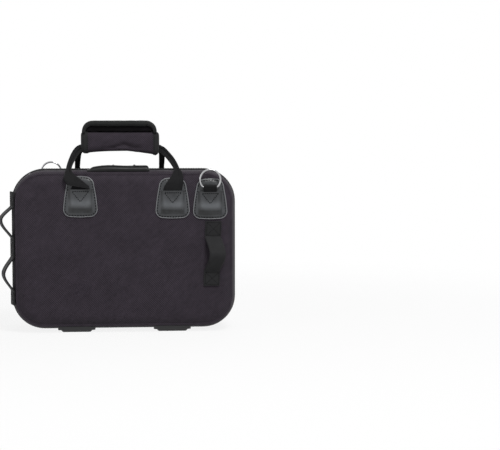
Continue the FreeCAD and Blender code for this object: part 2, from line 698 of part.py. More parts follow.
def leg_sections(side, slot_place, slot_level, spread, outward):
    """The sections of a strap's leg, from the tab's mouth over the case's edge and up into the grip."""
    face = side * depth_of(side)
    stand_off = FACE_OUT + SEWN_GAP * 2 + WEBBING_THICKNESS / 2
    sections = [section_points(slot_place, face + side * stand_off, slot_level + LEG_START_RISE,
                               WEBBING_WIDTH, WEBBING_THICKNESS, 0)]
    for step in range(LEG_EDGE_STEPS):
        share = (step + 1) / LEG_EDGE_STEPS
        bend = math.radians(LEG_EDGE_ANGLE) * step / (LEG_EDGE_STEPS - 1)
        width = WEBBING_WIDTH + (LEG_FOLDED_WIDTH - WEBBING_WIDTH) * share
        thickness = WEBBING_THICKNESS + (LEG_FOLDED_THICKNESS - WEBBING_THICKNESS) * share
        reach = edge_of(side) + LEG_EDGE_STAND_OFF + thickness / 2
        sections.append(section_points(slot_place + outward * spread * share,
                                       face - side * edge_of(side) + side * reach * math.cos(bend),
                                       SHELL_TOP - edge_of(side) + reach * math.sin(bend),
                                       width, thickness, side * bend))
    near, far, bottom, top = band_bounds(side)
    grip_end = GRIP_LEFT if outward < 0 else GRIP_RIGHT
    edge = vec(slot_place + outward * spread, face - side * edge_of(side) + side * reach * math.cos(bend),
               SHELL_TOP - edge_of(side) + reach * math.sin(bend))
    corner = vec(grip_end + outward * LEG_BESIDE_GRIP, (near + far) / 2 + side * LEG_GRIP_DROP / 2,
                 bottom - LEG_GRIP_DROP)
    bow = (edge + corner) / 2 + vec(outward * LEG_BOW, 0, 0)
    sections.append(section_points(bow.x, bow.y, bow.z, LEG_FOLDED_WIDTH, LEG_FOLDED_THICKNESS, side * bend))
    sections.append(section_points(corner.x, corner.y, corner.z, LEG_FOLDED_WIDTH, LEG_FOLDED_THICKNESS,
                                   side * bend / 2))
    sections.append(band_end_points(side, grip_end + outward * BAND_BESIDE_GRIP, outward))
    return sections


def strap(side, slots, slot_level, spreads):
    """A whole handle strap in one length: a leg, the band that runs through the grip, and a leg."""
    rising = leg_sections(side, slots[0], slot_level, spreads[0], -1)
    falling = leg_sections(side, slots[1], slot_level, spreads[1], 1)[::-1]
    matched = [[points[1], points[0], points[3], points[2]] for points in falling]
    return faceted_solid(rising + matched).removeSplitter()


# Padded grip

def grip_half(side, height, top_corner):
    """One padded half of the grip, arched along its bottom, with a channel for its strap."""
    parting = GRIP_MIDDLE_PLACE + side * GRIP_PARTING_GAP / 2
    top = GRIP_BOTTOM + height
    thickness = GRIP_HALF_THICKNESS - GRIP_PARTING_GAP / 2
    body = prism(rectangle_points(GRIP_LEFT, GRIP_RIGHT, GRIP_BOTTOM, top),
                 [GRIP_CORNER, GRIP_CORNER, top_corner, top_corner],
                 upright(parting), vec(0, side * thickness, 0))
    outer = parting + side * thickness
    soft = [edge for edge in body.Edges
            if all(abs(vertex.Y - outer) < VANISHING for vertex in edge.Vertexes)]
    body = body.makeFillet(GRIP_EDGE, soft)
    half_length = (GRIP_RIGHT - GRIP_LEFT) / 2
    arch_radius = (half_length ** 2 + GRIP_ARCH ** 2) / (2 * GRIP_ARCH)
    arch = Part.makeCylinder(arch_radius, 2 * (GRIP_HALF_THICKNESS + OVERRUN),
                             vec(GRIP_CENTRE, GRIP_MIDDLE_PLACE - GRIP_HALF_THICKNESS - OVERRUN,
                                 GRIP_BOTTOM + GRIP_ARCH - arch_radius),
                             vec(0, 1, 0))
    near, far = channel_depths(side)
    channel = box(GRIP_LEFT - OVERRUN, GRIP_RIGHT + OVERRUN, near, far, CHANNEL_BOTTOM,
                  CHANNEL_BOTTOM + CHANNEL_HEIGHT)
    return body.cut(arch).cut(channel)


def back_grip_half():
    """The half on the back strap: its top slopes down to the parting, clear of the flap."""
    half = grip_half(BACK, GRIP_BACK_HEIGHT, GRIP_CORNER)
    top = GRIP_BOTTOM + GRIP_BACK_HEIGHT
    parting = GRIP_MIDDLE_PLACE - GRIP_PARTING_GAP / 2
    outer = parting - GRIP_HALF_THICKNESS
    wedge = prism([(outer + GRIP_EDGE, top), (parting + OVERRUN, top - GRIP_BACK_SLOPE),
                   (parting + OVERRUN, top + OVERRUN), (outer + GRIP_EDGE, top + OVERRUN)],
                  None, crosswise(GRIP_LEFT - OVERRUN),
                  vec(GRIP_RIGHT - GRIP_LEFT + 2 * OVERRUN, 0, 0))
    return half.cut(wedge)


def flap_depths():
    """Back and front of the flap's outside."""
    back = GRIP_MIDDLE_PLACE - GRIP_HALF_THICKNESS - FLAP_OVERHANG - FLAP_THICKNESS / 2
    front = GRIP_MIDDLE_PLACE + GRIP_HALF_THICKNESS + GRIP_PARTING_GAP + FLAP_THICKNESS
    return back, front


def flap_pivot():
    """Depth and height of the seam about which the grip's flap opens."""
    return flap_depths()[1] - FLAP_THICKNESS / 2, FLAP_TOP - FLAP_HINGE_DROP


def flap_block(inset):
    """A block with the flap's rounded ends and edges, drawn in by an inset on every side."""
    back, front = flap_depths()
    left = GRIP_LEFT + FLAP_INSET + inset
    right = GRIP_RIGHT - FLAP_INSET - inset
    bottom = GRIP_BOTTOM
    corner = FLAP_CORNER - inset
    block = prism(rectangle_points(left, right, bottom, FLAP_TOP - inset), [0, 0, corner, corner],
                  upright(back + inset), vec(0, front - back - 2 * inset, 0))
    soft = [edge for edge in block.Edges
            if all(abs(vertex.Y - edge.Vertexes[0].Y) < VANISHING for vertex in edge.Vertexes)
            and max(vertex.Z for vertex in edge.Vertexes) > bottom + VANISHING]
    return block.makeFillet(FLAP_ROUND - inset, soft)


def grip_flap():
    """The flap that comes over the top of the grip from the front and ends in a lip at the back."""
    back, front = flap_depths()
    cap = flap_block(0).cut(flap_block(FLAP_THICKNESS))
    hinge_side = box(GRIP_LEFT, GRIP_RIGHT, GRIP_MIDDLE_PLACE, front + OVERRUN, GRIP_BOTTOM - OVERRUN,
                     FLAP_TOP - FLAP_HINGE_DROP)
    lip_side = box(GRIP_LEFT, GRIP_RIGHT, back - OVERRUN, GRIP_MIDDLE_PLACE, GRIP_BOTTOM - OVERRUN,
                   FLAP_TOP - FLAP_LIP)
    return cap.cut(hinge_side).cut(lip_side)


# Webbing strips with loops

def loop_line(top, bottom, peak_share, reach, base):
    """The turning points of one loop that bows out from a strip, from its top to its bottom."""
    peak = top - (top - bottom) * peak_share
    crest = (top - bottom) * LOOP_CREST_SHARE
    return [(base, top), (base + reach, peak + crest), (base + reach, peak - crest), (base, bottom)]


def back_strip():
    half = WEBBING_THICKNESS / 2
    base = BACK_DEPTH + SEWN_GAP + half
    reach = BACK_STRIP_LOOP_REACH - SEWN_GAP - 2 * half
    line = [(base, BACK_STRIP_TOP)]
    line += loop_line(BACK_STRIP_LOOP_TOP, BACK_STRIP_LOOP_BOTTOM, LOOP_PEAK_SHARE, reach, base)
    line += [(base, BACK_STRIP_LOOP_BOTTOM - BACK_STRIP_LOWER_PATCH)]
    radii = [0, LOOP_FOOT_RADIUS, LOOP_PEAK_RADIUS, LOOP_PEAK_RADIUS, LOOP_FOOT_RADIUS, 0]
    left = BACK_STRIP_PLACE - BACK_STRIP_WIDTH / 2
    return ribbon([(-u, v) for u, v in line], radii, half, crosswise(left), vec(BACK_STRIP_WIDTH, 0, 0))


def side_strip_place(out, across, z):
    """A point beside the rounded left edge: out from the case, across the webbing, and up."""
    reach = BACK_EDGE + out
    x = -HALF_WIDTH + BACK_EDGE - reach * SIDE_STRIP_OUT + across * SIDE_STRIP_IN
    y = -BACK_DEPTH + BACK_EDGE - reach * SIDE_STRIP_IN - across * SIDE_STRIP_OUT
    return vec(x, y, z)


def side_strip():
    half = WEBBING_THICKNESS / 2
    base = SEWN_GAP + half
    take = base + half
    line = [(base, SIDE_STRIP_TOP)]
    line += loop_line(UPPER_LOOP_TOP, UPPER_LOOP_BOTTOM, UPPER_LOOP_PEAK_SHARE,
                      SIDE_STRIP_UPPER_REACH - take, base)
    line += loop_line(LOWER_LOOP_TOP, LOWER_LOOP_BOTTOM, LOOP_PEAK_SHARE,
                      SIDE_STRIP_LOWER_REACH - take, base)
    line += [(base, LOWER_LOOP_BOTTOM - SIDE_STRIP_LOWER_PATCH)]
    turn = [LOOP_FOOT_RADIUS, LOOP_PEAK_RADIUS, LOOP_PEAK_RADIUS, LOOP_FOOT_RADIUS]
    start = -SIDE_STRIP_WIDTH / 2
    along = side_strip_place(0, SIDE_STRIP_WIDTH, 0) - side_strip_place(0, 0, 0)
    return ribbon(line, [0] + turn + turn + [0], half, lambda u, v: side_strip_place(u, start, v), along)


def top_patch():
    """The padded leather patch on the top of the back half, with slanted ends."""
    top = SHELL_TOP + PATCH_THICKNESS + OVERRUN
    bottom = SHELL_TOP - BACK_EDGE
    slant = PATCH_SLANT * (top - bottom) / PATCH_THICKNESS / 2
    left = -PATCH_OFFSET - PATCH_LENGTH / 2
    right = -PATCH_OFFSET + PATCH_LENGTH / 2
    outline = [(left - slant / 2, bottom), (right + slant / 2, bottom),
               (right - slant / 2, top), (left + slant / 2, top)]
    cutter = prism(outline, None, upright(-PATCH_NEAR), vec(0, PATCH_NEAR - PATCH_FAR, 0))
    return skin(BACK, SEWN_GAP, PATCH_THICKNESS, cutter)


# Feet

def foot(side, x, place):
    """A moulded foot: a flange shaped to the case, and a block with sloping ends."""
    y = side * place
    top = SHELL_BOTTOM - SEWN_GAP
    flange_low = top - FOOT_FLANGE_THICKNESS
    half = FOOT_FLANGE_LENGTH / 2
    half_wide = FOOT_FLANGE_WIDTH / 2
    flange = prism(rectangle_points(x - half, x + half, y - half_wide, y + half_wide),
                   [FOOT_FLANGE_CORNER] * 4, level(flange_low), vec(0, 0, FOOT_FLANGE_THICKNESS + OVERRUN))
    flange = flange.cut(case_block(side, SEWN_GAP, rim=0.0))
    flange = flange.cut(case_ring(BINDING_THICKNESS + 2 * SEWN_GAP, side * (BINDING_NEAR - SEWN_GAP),
                                  side * (BINDING_FAR + SEWN_GAP)))
    base = rounded_wire(rectangle_points(x - FOOT_BASE_LENGTH / 2, x + FOOT_BASE_LENGTH / 2,
                                         y - FOOT_BASE_WIDTH / 2, y + FOOT_BASE_WIDTH / 2),
                        [FOOT_CORNER] * 4, level(flange_low))
    face = rounded_wire(rectangle_points(x - FOOT_FACE_LENGTH / 2, x + FOOT_FACE_LENGTH / 2,
                                         y - FOOT_FACE_WIDTH / 2, y + FOOT_FACE_WIDTH / 2),
                        [FOOT_CORNER] * 4, level(0))
    block = Part.makeLoft([face, base], True, True)
    return flange.fuse(block).removeSplitter()


# Zip sliders and pulls, drawn with X along the zip, Y towards the lid and Z out from the case

def slider():
    """Two plates joined by the post that parts the coils, with a lug for the pull."""
    gap_top = COIL_TOP + SLIDER_CLEARANCE
    half = SLIDER_LENGTH / 2
    corner = SLIDER_FRONT / 2
    outline = rectangle_points(-half, half, -SLIDER_BACK, SLIDER_FRONT)
    upper = prism(outline, [corner] * 4, level(gap_top), vec(0, 0, SLIDER_PLATE))
    lower = prism(outline, [corner] * 4, level(-SLIDER_PLATE), vec(0, 0, SLIDER_PLATE))
    post = box(-half, -half + SLIDER_POST_LENGTH, -SLIDER_POST_WIDTH / 2, SLIDER_POST_WIDTH / 2,
               -SLIDER_PLATE, SLIDER_TOP)
    post = post.common(prism(outline, [corner] * 4, level(-SLIDER_PLATE),
                             vec(0, 0, SLIDER_TOP + SLIDER_PLATE)))
    lip = box(-half + corner, half - corner, -SLIDER_BACK, -SLIDER_BACK + SLIDER_LIP,
              TAPE_GAP + SEWN_GAP + TAPE_THICKNESS + SLIDER_CLEARANCE, SLIDER_TOP)
    lug = prism([(-LUG_RADIUS, SLIDER_TOP - SLIDER_PLATE / 2), (LUG_RADIUS, SLIDER_TOP - SLIDER_PLATE / 2),
                 (LUG_RADIUS, PIN_LEVEL + LUG_RADIUS), (-LUG_RADIUS, PIN_LEVEL + LUG_RADIUS)],
                [0, 0, LUG_CORNER, LUG_CORNER], upright(-LUG_WIDTH / 2), vec(0, LUG_WIDTH, 0))
    hole = Part.makeCylinder(PIN_RADIUS + PIN_CLEARANCE, LUG_WIDTH + 2 * OVERRUN,
                             vec(0, -LUG_WIDTH / 2 - OVERRUN, PIN_LEVEL), vec(0, 1, 0))
    return upper.fuse([lower, post, lip, lug]).cut(hole).removeSplitter()


def pull():
    """A flat tab on two arms, with the pin that turns in the slider's lug."""
    half = PULL_THICKNESS / 2
    arm_inner = LUG_WIDTH / 2 + PULL_ARM_GAP
    outline = [(PULL_ARM_LENGTH, -PULL_WIDTH / 2), (PULL_LENGTH, -PULL_WIDTH / 2),
               (PULL_LENGTH, PULL_WIDTH / 2), (PULL_ARM_LENGTH, PULL_WIDTH / 2)]
    plate = prism(outline, [0, PULL_END_RADIUS, PULL_END_RADIUS, 0], level(PIN_LEVEL - half),
                  vec(0, 0, PULL_THICKNESS))
    arms = []
    for across in (-1, 1):
        arm = prism(rectangle_points(-half, PULL_ARM_LENGTH + half, PIN_LEVEL - half, PIN_LEVEL + half),
                    [PULL_ARM_CORNER, 0, 0, PULL_ARM_CORNER], upright(across * arm_inner),
                    vec(0, across * (PULL_WIDTH / 2 - arm_inner), 0))
        arms.append(arm)
    pin = Part.makeCylinder(PIN_RADIUS, PULL_WIDTH, vec(0, -PULL_WIDTH / 2, PIN_LEVEL),
                            vec(0, 1, 0))
    return plate.fuse(arms + [pin]).removeSplitter()


def on_top(shape, mirrored):
    """Sets a slider or pull on the zip at the top of the case, right of its middle or left of it."""
    placed = shape.copy()
    placed.translate(vec(SLIDER_PARK, 0, SHELL_TOP))
    if mirrored:
        placed = placed.mirror(vec(0, 0, 0), vec(1, 0, 0))
    return placed


def pocket_slider_level():
    return POCKET_FOLD + POCKET_SLIDER_RISE


def on_pocket(shape):
    """Sets a slider or pull on the right side of the pocket's zip, with the pull hanging down."""
    placed = shape.copy()
    turn = FreeCAD.Rotation(vec(0, 0, -1), vec(0, 1, 0), vec(1, 0, 0), "XYZ")
    placed.Placement = FreeCAD.Placement(vec(POCKET_WIDTH / 2, POCKET_ZIP_PLACE, pocket_slider_level()),
                                         turn)
    return placed


# Front pocket

def pocket_wire(y, side_inset, top_inset, corner):
    half = POCKET_WIDTH / 2 - side_inset
    high = POCKET_HEIGHT / 2 - top_inset
    return rounded_wire(rectangle_points(-half, half, POCKET_MIDDLE - high, POCKET_MIDDLE + high),
                        [corner] * 4, upright(y))


def pocket_slab(offset, y0, y1):
    """A slab with the pocket's outline, grown by an offset."""
    wire = pocket_wire(y0, -offset, -offset, POCKET_CORNER + offset)
    return Part.Face(wire).extrude(vec(0, y1 - y0, 0))


def pocket_ring(inner, outer, y0, y1):
    return pocket_slab(outer, y0, y1).cut(pocket_slab(inner, y0, y1))


def crown_block(inset, drop):
    """The bulging front of the pocket as a full block, drawn in by an inset and lowered by a drop."""
    sections = []
    shares = zip(CROWN_SIDE_SHARES, CROWN_TOP_SHARES, CROWN_REACH_SHARES, CROWN_CORNER_SHARES)
    for side_share, top_share, reach_share, corner_share in shares:
        side_inset = POCKET_WIDTH / 2 * side_share + inset
        top_inset = POCKET_HEIGHT / 2 * top_share + inset
        corner = (POCKET_CORNER - inset) * corner_share
        sections.append(pocket_wire(POCKET_SEAM + POCKET_CROWN * reach_share - drop, side_inset,
                                    top_inset, corner))
    return Part.makeLoft(sections, True, False)


def pocket_shell():
    """The whole pocket as one thin-walled shell, before its zip parts it."""
    outer = pocket_slab(0, POCKET_BACK, POCKET_SEAM).fuse(crown_block(0, 0))
    inner = pocket_slab(-POCKET_WALL, POCKET_BACK + POCKET_BACKING, POCKET_SEAM - POCKET_WALL)
    inner = inner.fuse(crown_block(POCKET_WALL, POCKET_WALL))
    return outer.cut(inner)


def above_fold(y0, y1):
    """The space above the fold line between two depths."""
    reach = POCKET_WIDTH
    return box(-reach, reach, y0, y1, POCKET_FOLD, POCKET_FOLD + POCKET_HEIGHT)


def below_fold(y0, y1):
    reach = POCKET_WIDTH
    return box(-reach, reach, y0, y1, POCKET_FOLD - POCKET_HEIGHT, POCKET_FOLD - PARTING_GAP)


def pocket_body():
    """The gusset all round, and the front panel below the fold."""
    whole = pocket_shell()
    rim = POCKET_ZIP_PLACE - RIM_SETBACK
    upper = whole.common(above_fold(0, rim))
    lower = whole.common(below_fold(0, POCKET_FRONT + OVERRUN))
    seam = whole.common(box(-POCKET_WIDTH, POCKET_WIDTH, 0, rim, POCKET_FOLD - PARTING_GAP, POCKET_FOLD))
    return lower.fuse([seam, upper]).removeSplitter()


def flap_panel():
    return pocket_shell().common(above_fold(POCKET_ZIP_PLACE + POCKET_RIM_FRONT, POCKET_FRONT + OVERRUN))


def piping():
    """The round cord sewn into the seam between the gusset and the front panel, as a closed ring."""
    offset = PIPING_RADIUS + SEWN_GAP
    wire = pocket_wire(POCKET_SEAM, -offset, -offset, POCKET_CORNER + offset)
    start = wire.Edges[0].Vertexes[0].Point
    tangent = wire.Edges[0].tangentAt(wire.Edges[0].FirstParameter)
    section = Part.Wire([Part.makeCircle(PIPING_RADIUS, start, tangent)])
    return wire.makePipeShell([section], True, True)


def lower_piping():
    return piping().common(below_fold(POCKET_BACK, POCKET_FRONT))


def flap_piping():
    return piping().common(above_fold(POCKET_BACK, POCKET_FRONT))


def pocket_tape(side):
    near = POCKET_ZIP_PLACE + side * (COIL_GAP + COIL_WIDTH + TAPE_GAP)
    far = POCKET_ZIP_PLACE + side * (RIM_SETBACK + SLIDER_PLATE)
    band = pocket_ring(TAPE_GAP + SEWN_GAP, TAPE_GAP + SEWN_GAP + TAPE_THICKNESS, near, far)
    return band.common(above_fold(POCKET_BACK, POCKET_FRONT))


def pocket_coil(side):
    near = POCKET_ZIP_PLACE + side * COIL_GAP
    far = POCKET_ZIP_PLACE + side * (COIL_GAP + COIL_WIDTH)
    band = pocket_ring(TAPE_GAP + SEWN_GAP, COIL_TOP, near, far)
    return band.common(above_fold(POCKET_BACK, POCKET_FRONT))


def all_parts():
    """Every node of the case by name, in the building frame."""
    back_slots = (BACK_LEFT_SLOT, BACK_RIGHT_SLOT)
    front_slots = (FRONT_LEFT_SLOT, FRONT_RIGHT_SLOT)
    back_spreads = (BACK_LEFT_LEG_SPREAD, BACK_RIGHT_LEG_SPREAD)
    front_spreads = (FRONT_LEFT_LEG_SPREAD, FRONT_RIGHT_LEG_SPREAD)
    top_slider = slider()
    top_pull = pull()
    return {
        "back_shell": shell(BACK),
        "back_binding": binding(BACK),
        "back_zip_tape": zip_tape(BACK),
        "back_zip_coil": zip_coil(BACK),
        "back_hinge_strip": hinge_strip(BACK),
        "instrument_tray": instrument_tray(),
        "back_left_tab": tab(BACK, BACK_LEFT_SLOT, BACK_SLOT_LEVEL),
        "back_right_tab": tab(BACK, BACK_RIGHT_SLOT, BACK_SLOT_LEVEL),
        "back_ring_tab": tab(BACK, BACK_RING_SLOT, BACK_RING_LEVEL),
        "back_strap_ends": strap_ends(BACK, back_slots, BACK_SLOT_LEVEL),
        "back_ring_webbing": ring_webbing(BACK, BACK_RING_SLOT, BACK_RING_LEVEL),
        "back_strip": back_strip(),
        "side_strip": side_strip(),
        "top_patch": top_patch(),
        "back_left_foot": foot(BACK, -FOOT_SPREAD, FOOT_BACK_PLACE),
        "back_right_foot": foot(BACK, FOOT_SPREAD, FOOT_BACK_PLACE),
        "front_shell": shell(FRONT),
        "front_binding": binding(FRONT),
        "front_zip_tape": zip_tape(FRONT),
        "front_zip_coil": zip_coil(FRONT),
        "front_hinge_strip": hinge_strip(FRONT),
        "lid_lining": lid_lining(),
        "front_left_tab": tab(FRONT, FRONT_LEFT_SLOT, FRONT_SLOT_LEVEL),
        "front_right_tab": tab(FRONT, FRONT_RIGHT_SLOT, FRONT_SLOT_LEVEL),
        "front_ring_tab": tab(FRONT, FRONT_RING_SLOT, FRONT_RING_LEVEL, FRONT_RING_TAB_NARROWING,
                              FRONT_RING_TAB_ABOVE),
        "front_strap_ends": strap_ends(FRONT, front_slots, FRONT_SLOT_LEVEL),
        "front_ring_webbing": ring_webbing(FRONT, FRONT_RING_SLOT, FRONT_RING_LEVEL),
        "front_left_foot": foot(FRONT, -FOOT_SPREAD, FOOT_FRONT_PLACE),
        "front_right_foot": foot(FRONT, FOOT_SPREAD, FOOT_FRONT_PLACE),
        "pocket_body": pocket_body(),
        "pocket_piping": lower_piping(),
        "pocket_zip_tape": pocket_tape(BACK),
        "pocket_zip_coil": pocket_coil(BACK),
        "flap_panel": flap_panel(),
        "flap_piping": flap_piping(),
        "flap_zip_tape": pocket_tape(FRONT),
        "flap_zip_coil": pocket_coil(FRONT),
        "pocket_slider": on_pocket(top_slider),
        "pocket_pull": on_pocket(top_pull),
        "left_slider": on_top(top_slider, True),
        "right_slider": on_top(top_slider, False),
        "left_pull": on_top(top_pull, True),
        "right_pull": on_top(top_pull, False),
        "back_ring": ring(BACK, BACK_RING_SLOT, BACK_RING_LEVEL),
        "front_ring": ring(FRONT, FRONT_RING_SLOT, FRONT_RING_LEVEL),
        "back_strap": strap(BACK, back_slots, BACK_SLOT_LEVEL, back_spreads),
        "back_grip": back_grip_half(),
        "front_strap": strap(FRONT, front_slots, FRONT_SLOT_LEVEL, front_spreads),
        "front_grip": grip_half(FRONT, GRIP_FRONT_HEIGHT, GRIP_FRONT_CORNER),
        "grip_flap": grip_flap(),
    }


def main():
    os.makedirs("parts", exist_ok=True)
    for name, shape in all_parts().items():
        moved = shape.copy()
        moved.translate(vec(*ORIGIN_SHIFT))
        moved.exportStep(os.path.join("parts", name + ".step"))


if __name__ == "__main__":
    main()
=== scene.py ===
import bpy
import bmesh
import math
from contextlib import contextmanager
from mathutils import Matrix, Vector, noise
from mathutils.bvhtree import BVHTree


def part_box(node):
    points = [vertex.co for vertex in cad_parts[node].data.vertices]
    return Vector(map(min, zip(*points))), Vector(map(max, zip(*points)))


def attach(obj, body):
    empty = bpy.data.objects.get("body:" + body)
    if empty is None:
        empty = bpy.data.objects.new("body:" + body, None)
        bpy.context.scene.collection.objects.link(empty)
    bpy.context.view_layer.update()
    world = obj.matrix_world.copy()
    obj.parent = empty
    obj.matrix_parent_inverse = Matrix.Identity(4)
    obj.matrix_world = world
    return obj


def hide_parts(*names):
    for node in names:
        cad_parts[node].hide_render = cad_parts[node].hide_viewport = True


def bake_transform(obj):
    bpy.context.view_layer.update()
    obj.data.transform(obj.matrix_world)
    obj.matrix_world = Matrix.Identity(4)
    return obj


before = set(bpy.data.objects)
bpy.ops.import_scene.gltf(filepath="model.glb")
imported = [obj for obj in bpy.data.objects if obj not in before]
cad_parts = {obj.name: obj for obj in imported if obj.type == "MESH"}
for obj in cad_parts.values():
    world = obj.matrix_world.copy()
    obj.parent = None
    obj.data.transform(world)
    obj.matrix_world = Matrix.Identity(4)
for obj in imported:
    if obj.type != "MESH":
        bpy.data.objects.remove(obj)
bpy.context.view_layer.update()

# A soft-covered clarinet case that stands on its feet, seen from its flat back.
# Lengths are in millimetres in the case's own frame: X along the case with zero at the middle of its
# body, Y through it with zero at the zip and the flat back on the minus side, Z up from the floor.
MM = 0.001
BACK, FRONT = -1, 1
HALVES = ((BACK, "back", "back_case"), (FRONT, "front", "lid"))
ENDS = (0, -1)

# Case body
RIM_SETBACK = 7.0
CASE_CORNER = 50.0
EDGE = {BACK: 22.0, FRONT: 12.0}
WALL = 5.0
SKIN = 0.2

# Tapes and zips
TAPE_NEAR, TAPE_FAR, TAPE_RISE = 8.2, 18.0, 1.7
COIL_NEAR, COIL_FAR, COIL_BASE = 0.35, 3.6, 0.9
TOOTH_PITCH = 1.75
ZIP_FACE, ZIP_UNDER = 1.15, 0.3

back_low, back_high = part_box("back_shell")
ZERO_X = (back_low.x + back_high.x) / 2
ZERO_Y = back_high.y + RIM_SETBACK * MM
HALF_WIDTH = (back_high.x - back_low.x) / 2 / MM
BOTTOM, TOP = back_low.z / MM, back_high.z / MM
MIDDLE, HALF_HEIGHT = (BOTTOM + TOP) / 2, (TOP - BOTTOM) / 2
DEPTH = {BACK: (ZERO_Y - back_low.y) / MM, FRONT: (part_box("front_shell")[1].y - ZERO_Y) / MM}
STRAIGHT = HALF_WIDTH - CASE_CORNER
CASE = (HALF_WIDTH, HALF_HEIGHT, CASE_CORNER, MIDDLE)


def row(point):
    """A point of the case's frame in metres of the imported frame."""
    return Vector((ZERO_X + point[0] * MM, ZERO_Y + point[1] * MM, point[2] * MM))


def own(point):
    """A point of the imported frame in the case's frame."""
    return Vector(((point[0] - ZERO_X) / MM, (point[1] - ZERO_Y) / MM, point[2] / MM))


def own_box(node):
    return [own(corner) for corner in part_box(node)]


def smooth(low, high, value):
    t = min(max((value - low) / (high - low), 0.0), 1.0)
    return t * t * (3 - 2 * t)


def mix(a, b, t):
    return a + (b - a) * t


def bell(value, width):
    return math.exp(-(value / width) ** 2)


def ripple(*place):
    return noise.noise(Vector(place))


def between(values, share):
    """A smooth curve through the values, read at a share of its whole run."""
    place = min(max(share, 0.0), 1.0) * (len(values) - 1)
    i = min(int(place), len(values) - 2)
    t = place - i
    a, b, c, d = (values[min(max(i + k, 0), len(values) - 1)] for k in (-1, 0, 1, 2))
    return (b * 2 + (c - a) * t + (a * 2 - b * 5 + c * 4 - d) * t * t
            + (b * 3 - a - c * 3 + d) * t * t * t) * 0.5


# Node materials

class Web:
    """A short way to write the node tree of a material or a world."""

    def __init__(self, owner):
        owner.use_nodes = True
        self.owner, self.tree = owner, owner.node_tree

    def put(self, socket, value):
        if isinstance(value, bpy.types.NodeSocket):
            self.tree.links.new(value, socket)
        else:
            socket.default_value = value

    def node(self, kind, values=(), **settings):
        """A node with its settings, and what its sockets hold, in their order or by key."""
        made = self.tree.nodes.new("ShaderNode" + kind)
        for key, value in settings.items():
            setattr(made, key, value)
        for key, value in values.items() if isinstance(values, dict) else enumerate(values):
            self.put(made.inputs[key], value)
        return made

    def math(self, operation, a, b=0.0, clamp=False):
        return self.node("Math", (a, b), operation=operation, use_clamp=clamp).outputs[0]

    def weigh(self, *parts, clamp=False):
        """The sum of values, each times its share."""
        terms = [self.math("MULTIPLY", value, share) for value, share in parts]
        total = terms[0]
        for term in terms[1:]:
            total = self.math("ADD", total, term, clamp)
        return total

    def span(self, value, low, high, to_low=0.0, to_high=1.0):
        return self.node("MapRange", (value, low, high, to_low, to_high), interpolation_type="SMOOTHSTEP").outputs[0]

    def split(self, vector):
        return self.node("SeparateXYZ", (vector,)).outputs

    def noise(self, vector, scale, detail=3.0, rough=0.55):
        sockets = {"Vector": vector, "Scale": scale, "Detail": detail, "Roughness": rough}
        return self.node("TexNoise", sockets).outputs["Fac"]

    def wave(self, value, period):
        return self.math("SINE", self.math("MULTIPLY", value, 2 * math.pi / period))

    def place(self):
        """The place in millimetres."""
        place = self.node("TexCoord").outputs["Object"]
        return self.node("VectorMath", {0: place, "Scale": 1 / MM}, operation="SCALE").outputs[0]

    def finish(self, dark, light, share, height, depth, strength):
        """Colours the shader between two tones by a share, and raises a height on it."""
        tone = self.node("Mix", {0: share, 6: (*dark, 1), 7: (*light, 1)}, data_type="RGBA").outputs[2]
        bump = self.node("Bump", {"Strength": strength, "Distance": depth, "Height": height}).outputs[0]
        self.put(self.shader.inputs["Base Color"], tone)
        self.put(self.shader.inputs["Normal"], bump)
        return self.owner


def surface(name, roughness, specular, metallic=0.0, sheen=0.0, coat=0.0):
    """A new material, with the numbers that hold all over it on the shader's own sockets."""
    web = Web(bpy.data.materials.new(name))
    web.shader = web.tree.nodes["Principled BSDF"]
    for socket, value in (("Roughness", roughness), ("Metallic", metallic), ("Specular IOR Level", specular),
                          ("Sheen Weight", sheen), ("Sheen Roughness", 0.5), ("Coat Weight", coat),
                          ("Coat Roughness", 0.25)):
        web.shader.inputs[socket].default_value = value
    return web


def cloth_coordinates(web):
    """Flat millimetres on whichever way a surface mostly faces, and a share that fades at the change."""
    x, y, z = web.split(web.place())
    ax, ay, az = (web.math("ABSOLUTE", n) for n in web.split(web.node("TexCoord").outputs["Normal"]))
    limit = web.math("MULTIPLY", ay, 2.2)
    flat = []
    for along, facing, other in ((x, ax, az), (z, az, ax)):
        turned = web.math("MULTIPLY", web.math("GREATER_THAN", facing, limit),
                          web.math("GREATER_THAN", facing, other))
        flat.append(web.weigh((along, web.math("SUBTRACT", 1.0, turned)), (y, turned)))
    change = web.math("ABSOLUTE", web.math("SUBTRACT", web.math("MAXIMUM", ax, az), limit))
    return *flat, web.span(change, 0.03, 0.4)


def ballistic_nylon(name, dark, light, pitch=2.9, depth=0.00022, sheen=0.12):
    """Heavy nylon: a basket weave that reads as fine diagonals, with a faint cloudiness."""
    web = surface(name, 0.78, 0.16, sheen=sheen)
    u, v, fade = cloth_coordinates(web)
    weave = web.math("MULTIPLY", web.wave(u, pitch), web.wave(v, pitch))
    twill = web.wave(web.math("ADD", u, v), pitch * 1.25)
    height = web.math("MULTIPLY", web.weigh((weave, 0.6), (twill, 0.4)), fade)
    place = web.place()
    x, _, z = web.split(place)
    slant = web.node("CombineXYZ", (web.weigh((x, 0.5), (z, 0.5)), web.math("SUBTRACT", x, z))).outputs[0]
    share = web.weigh((height, 0.62), (web.noise(place, 0.035, 4.0), 0.5), (web.noise(slant, 0.11, 2.0), 0.5))
    return web.finish(dark, light, web.span(share, 0.0, 1.0), height, depth, 0.8)


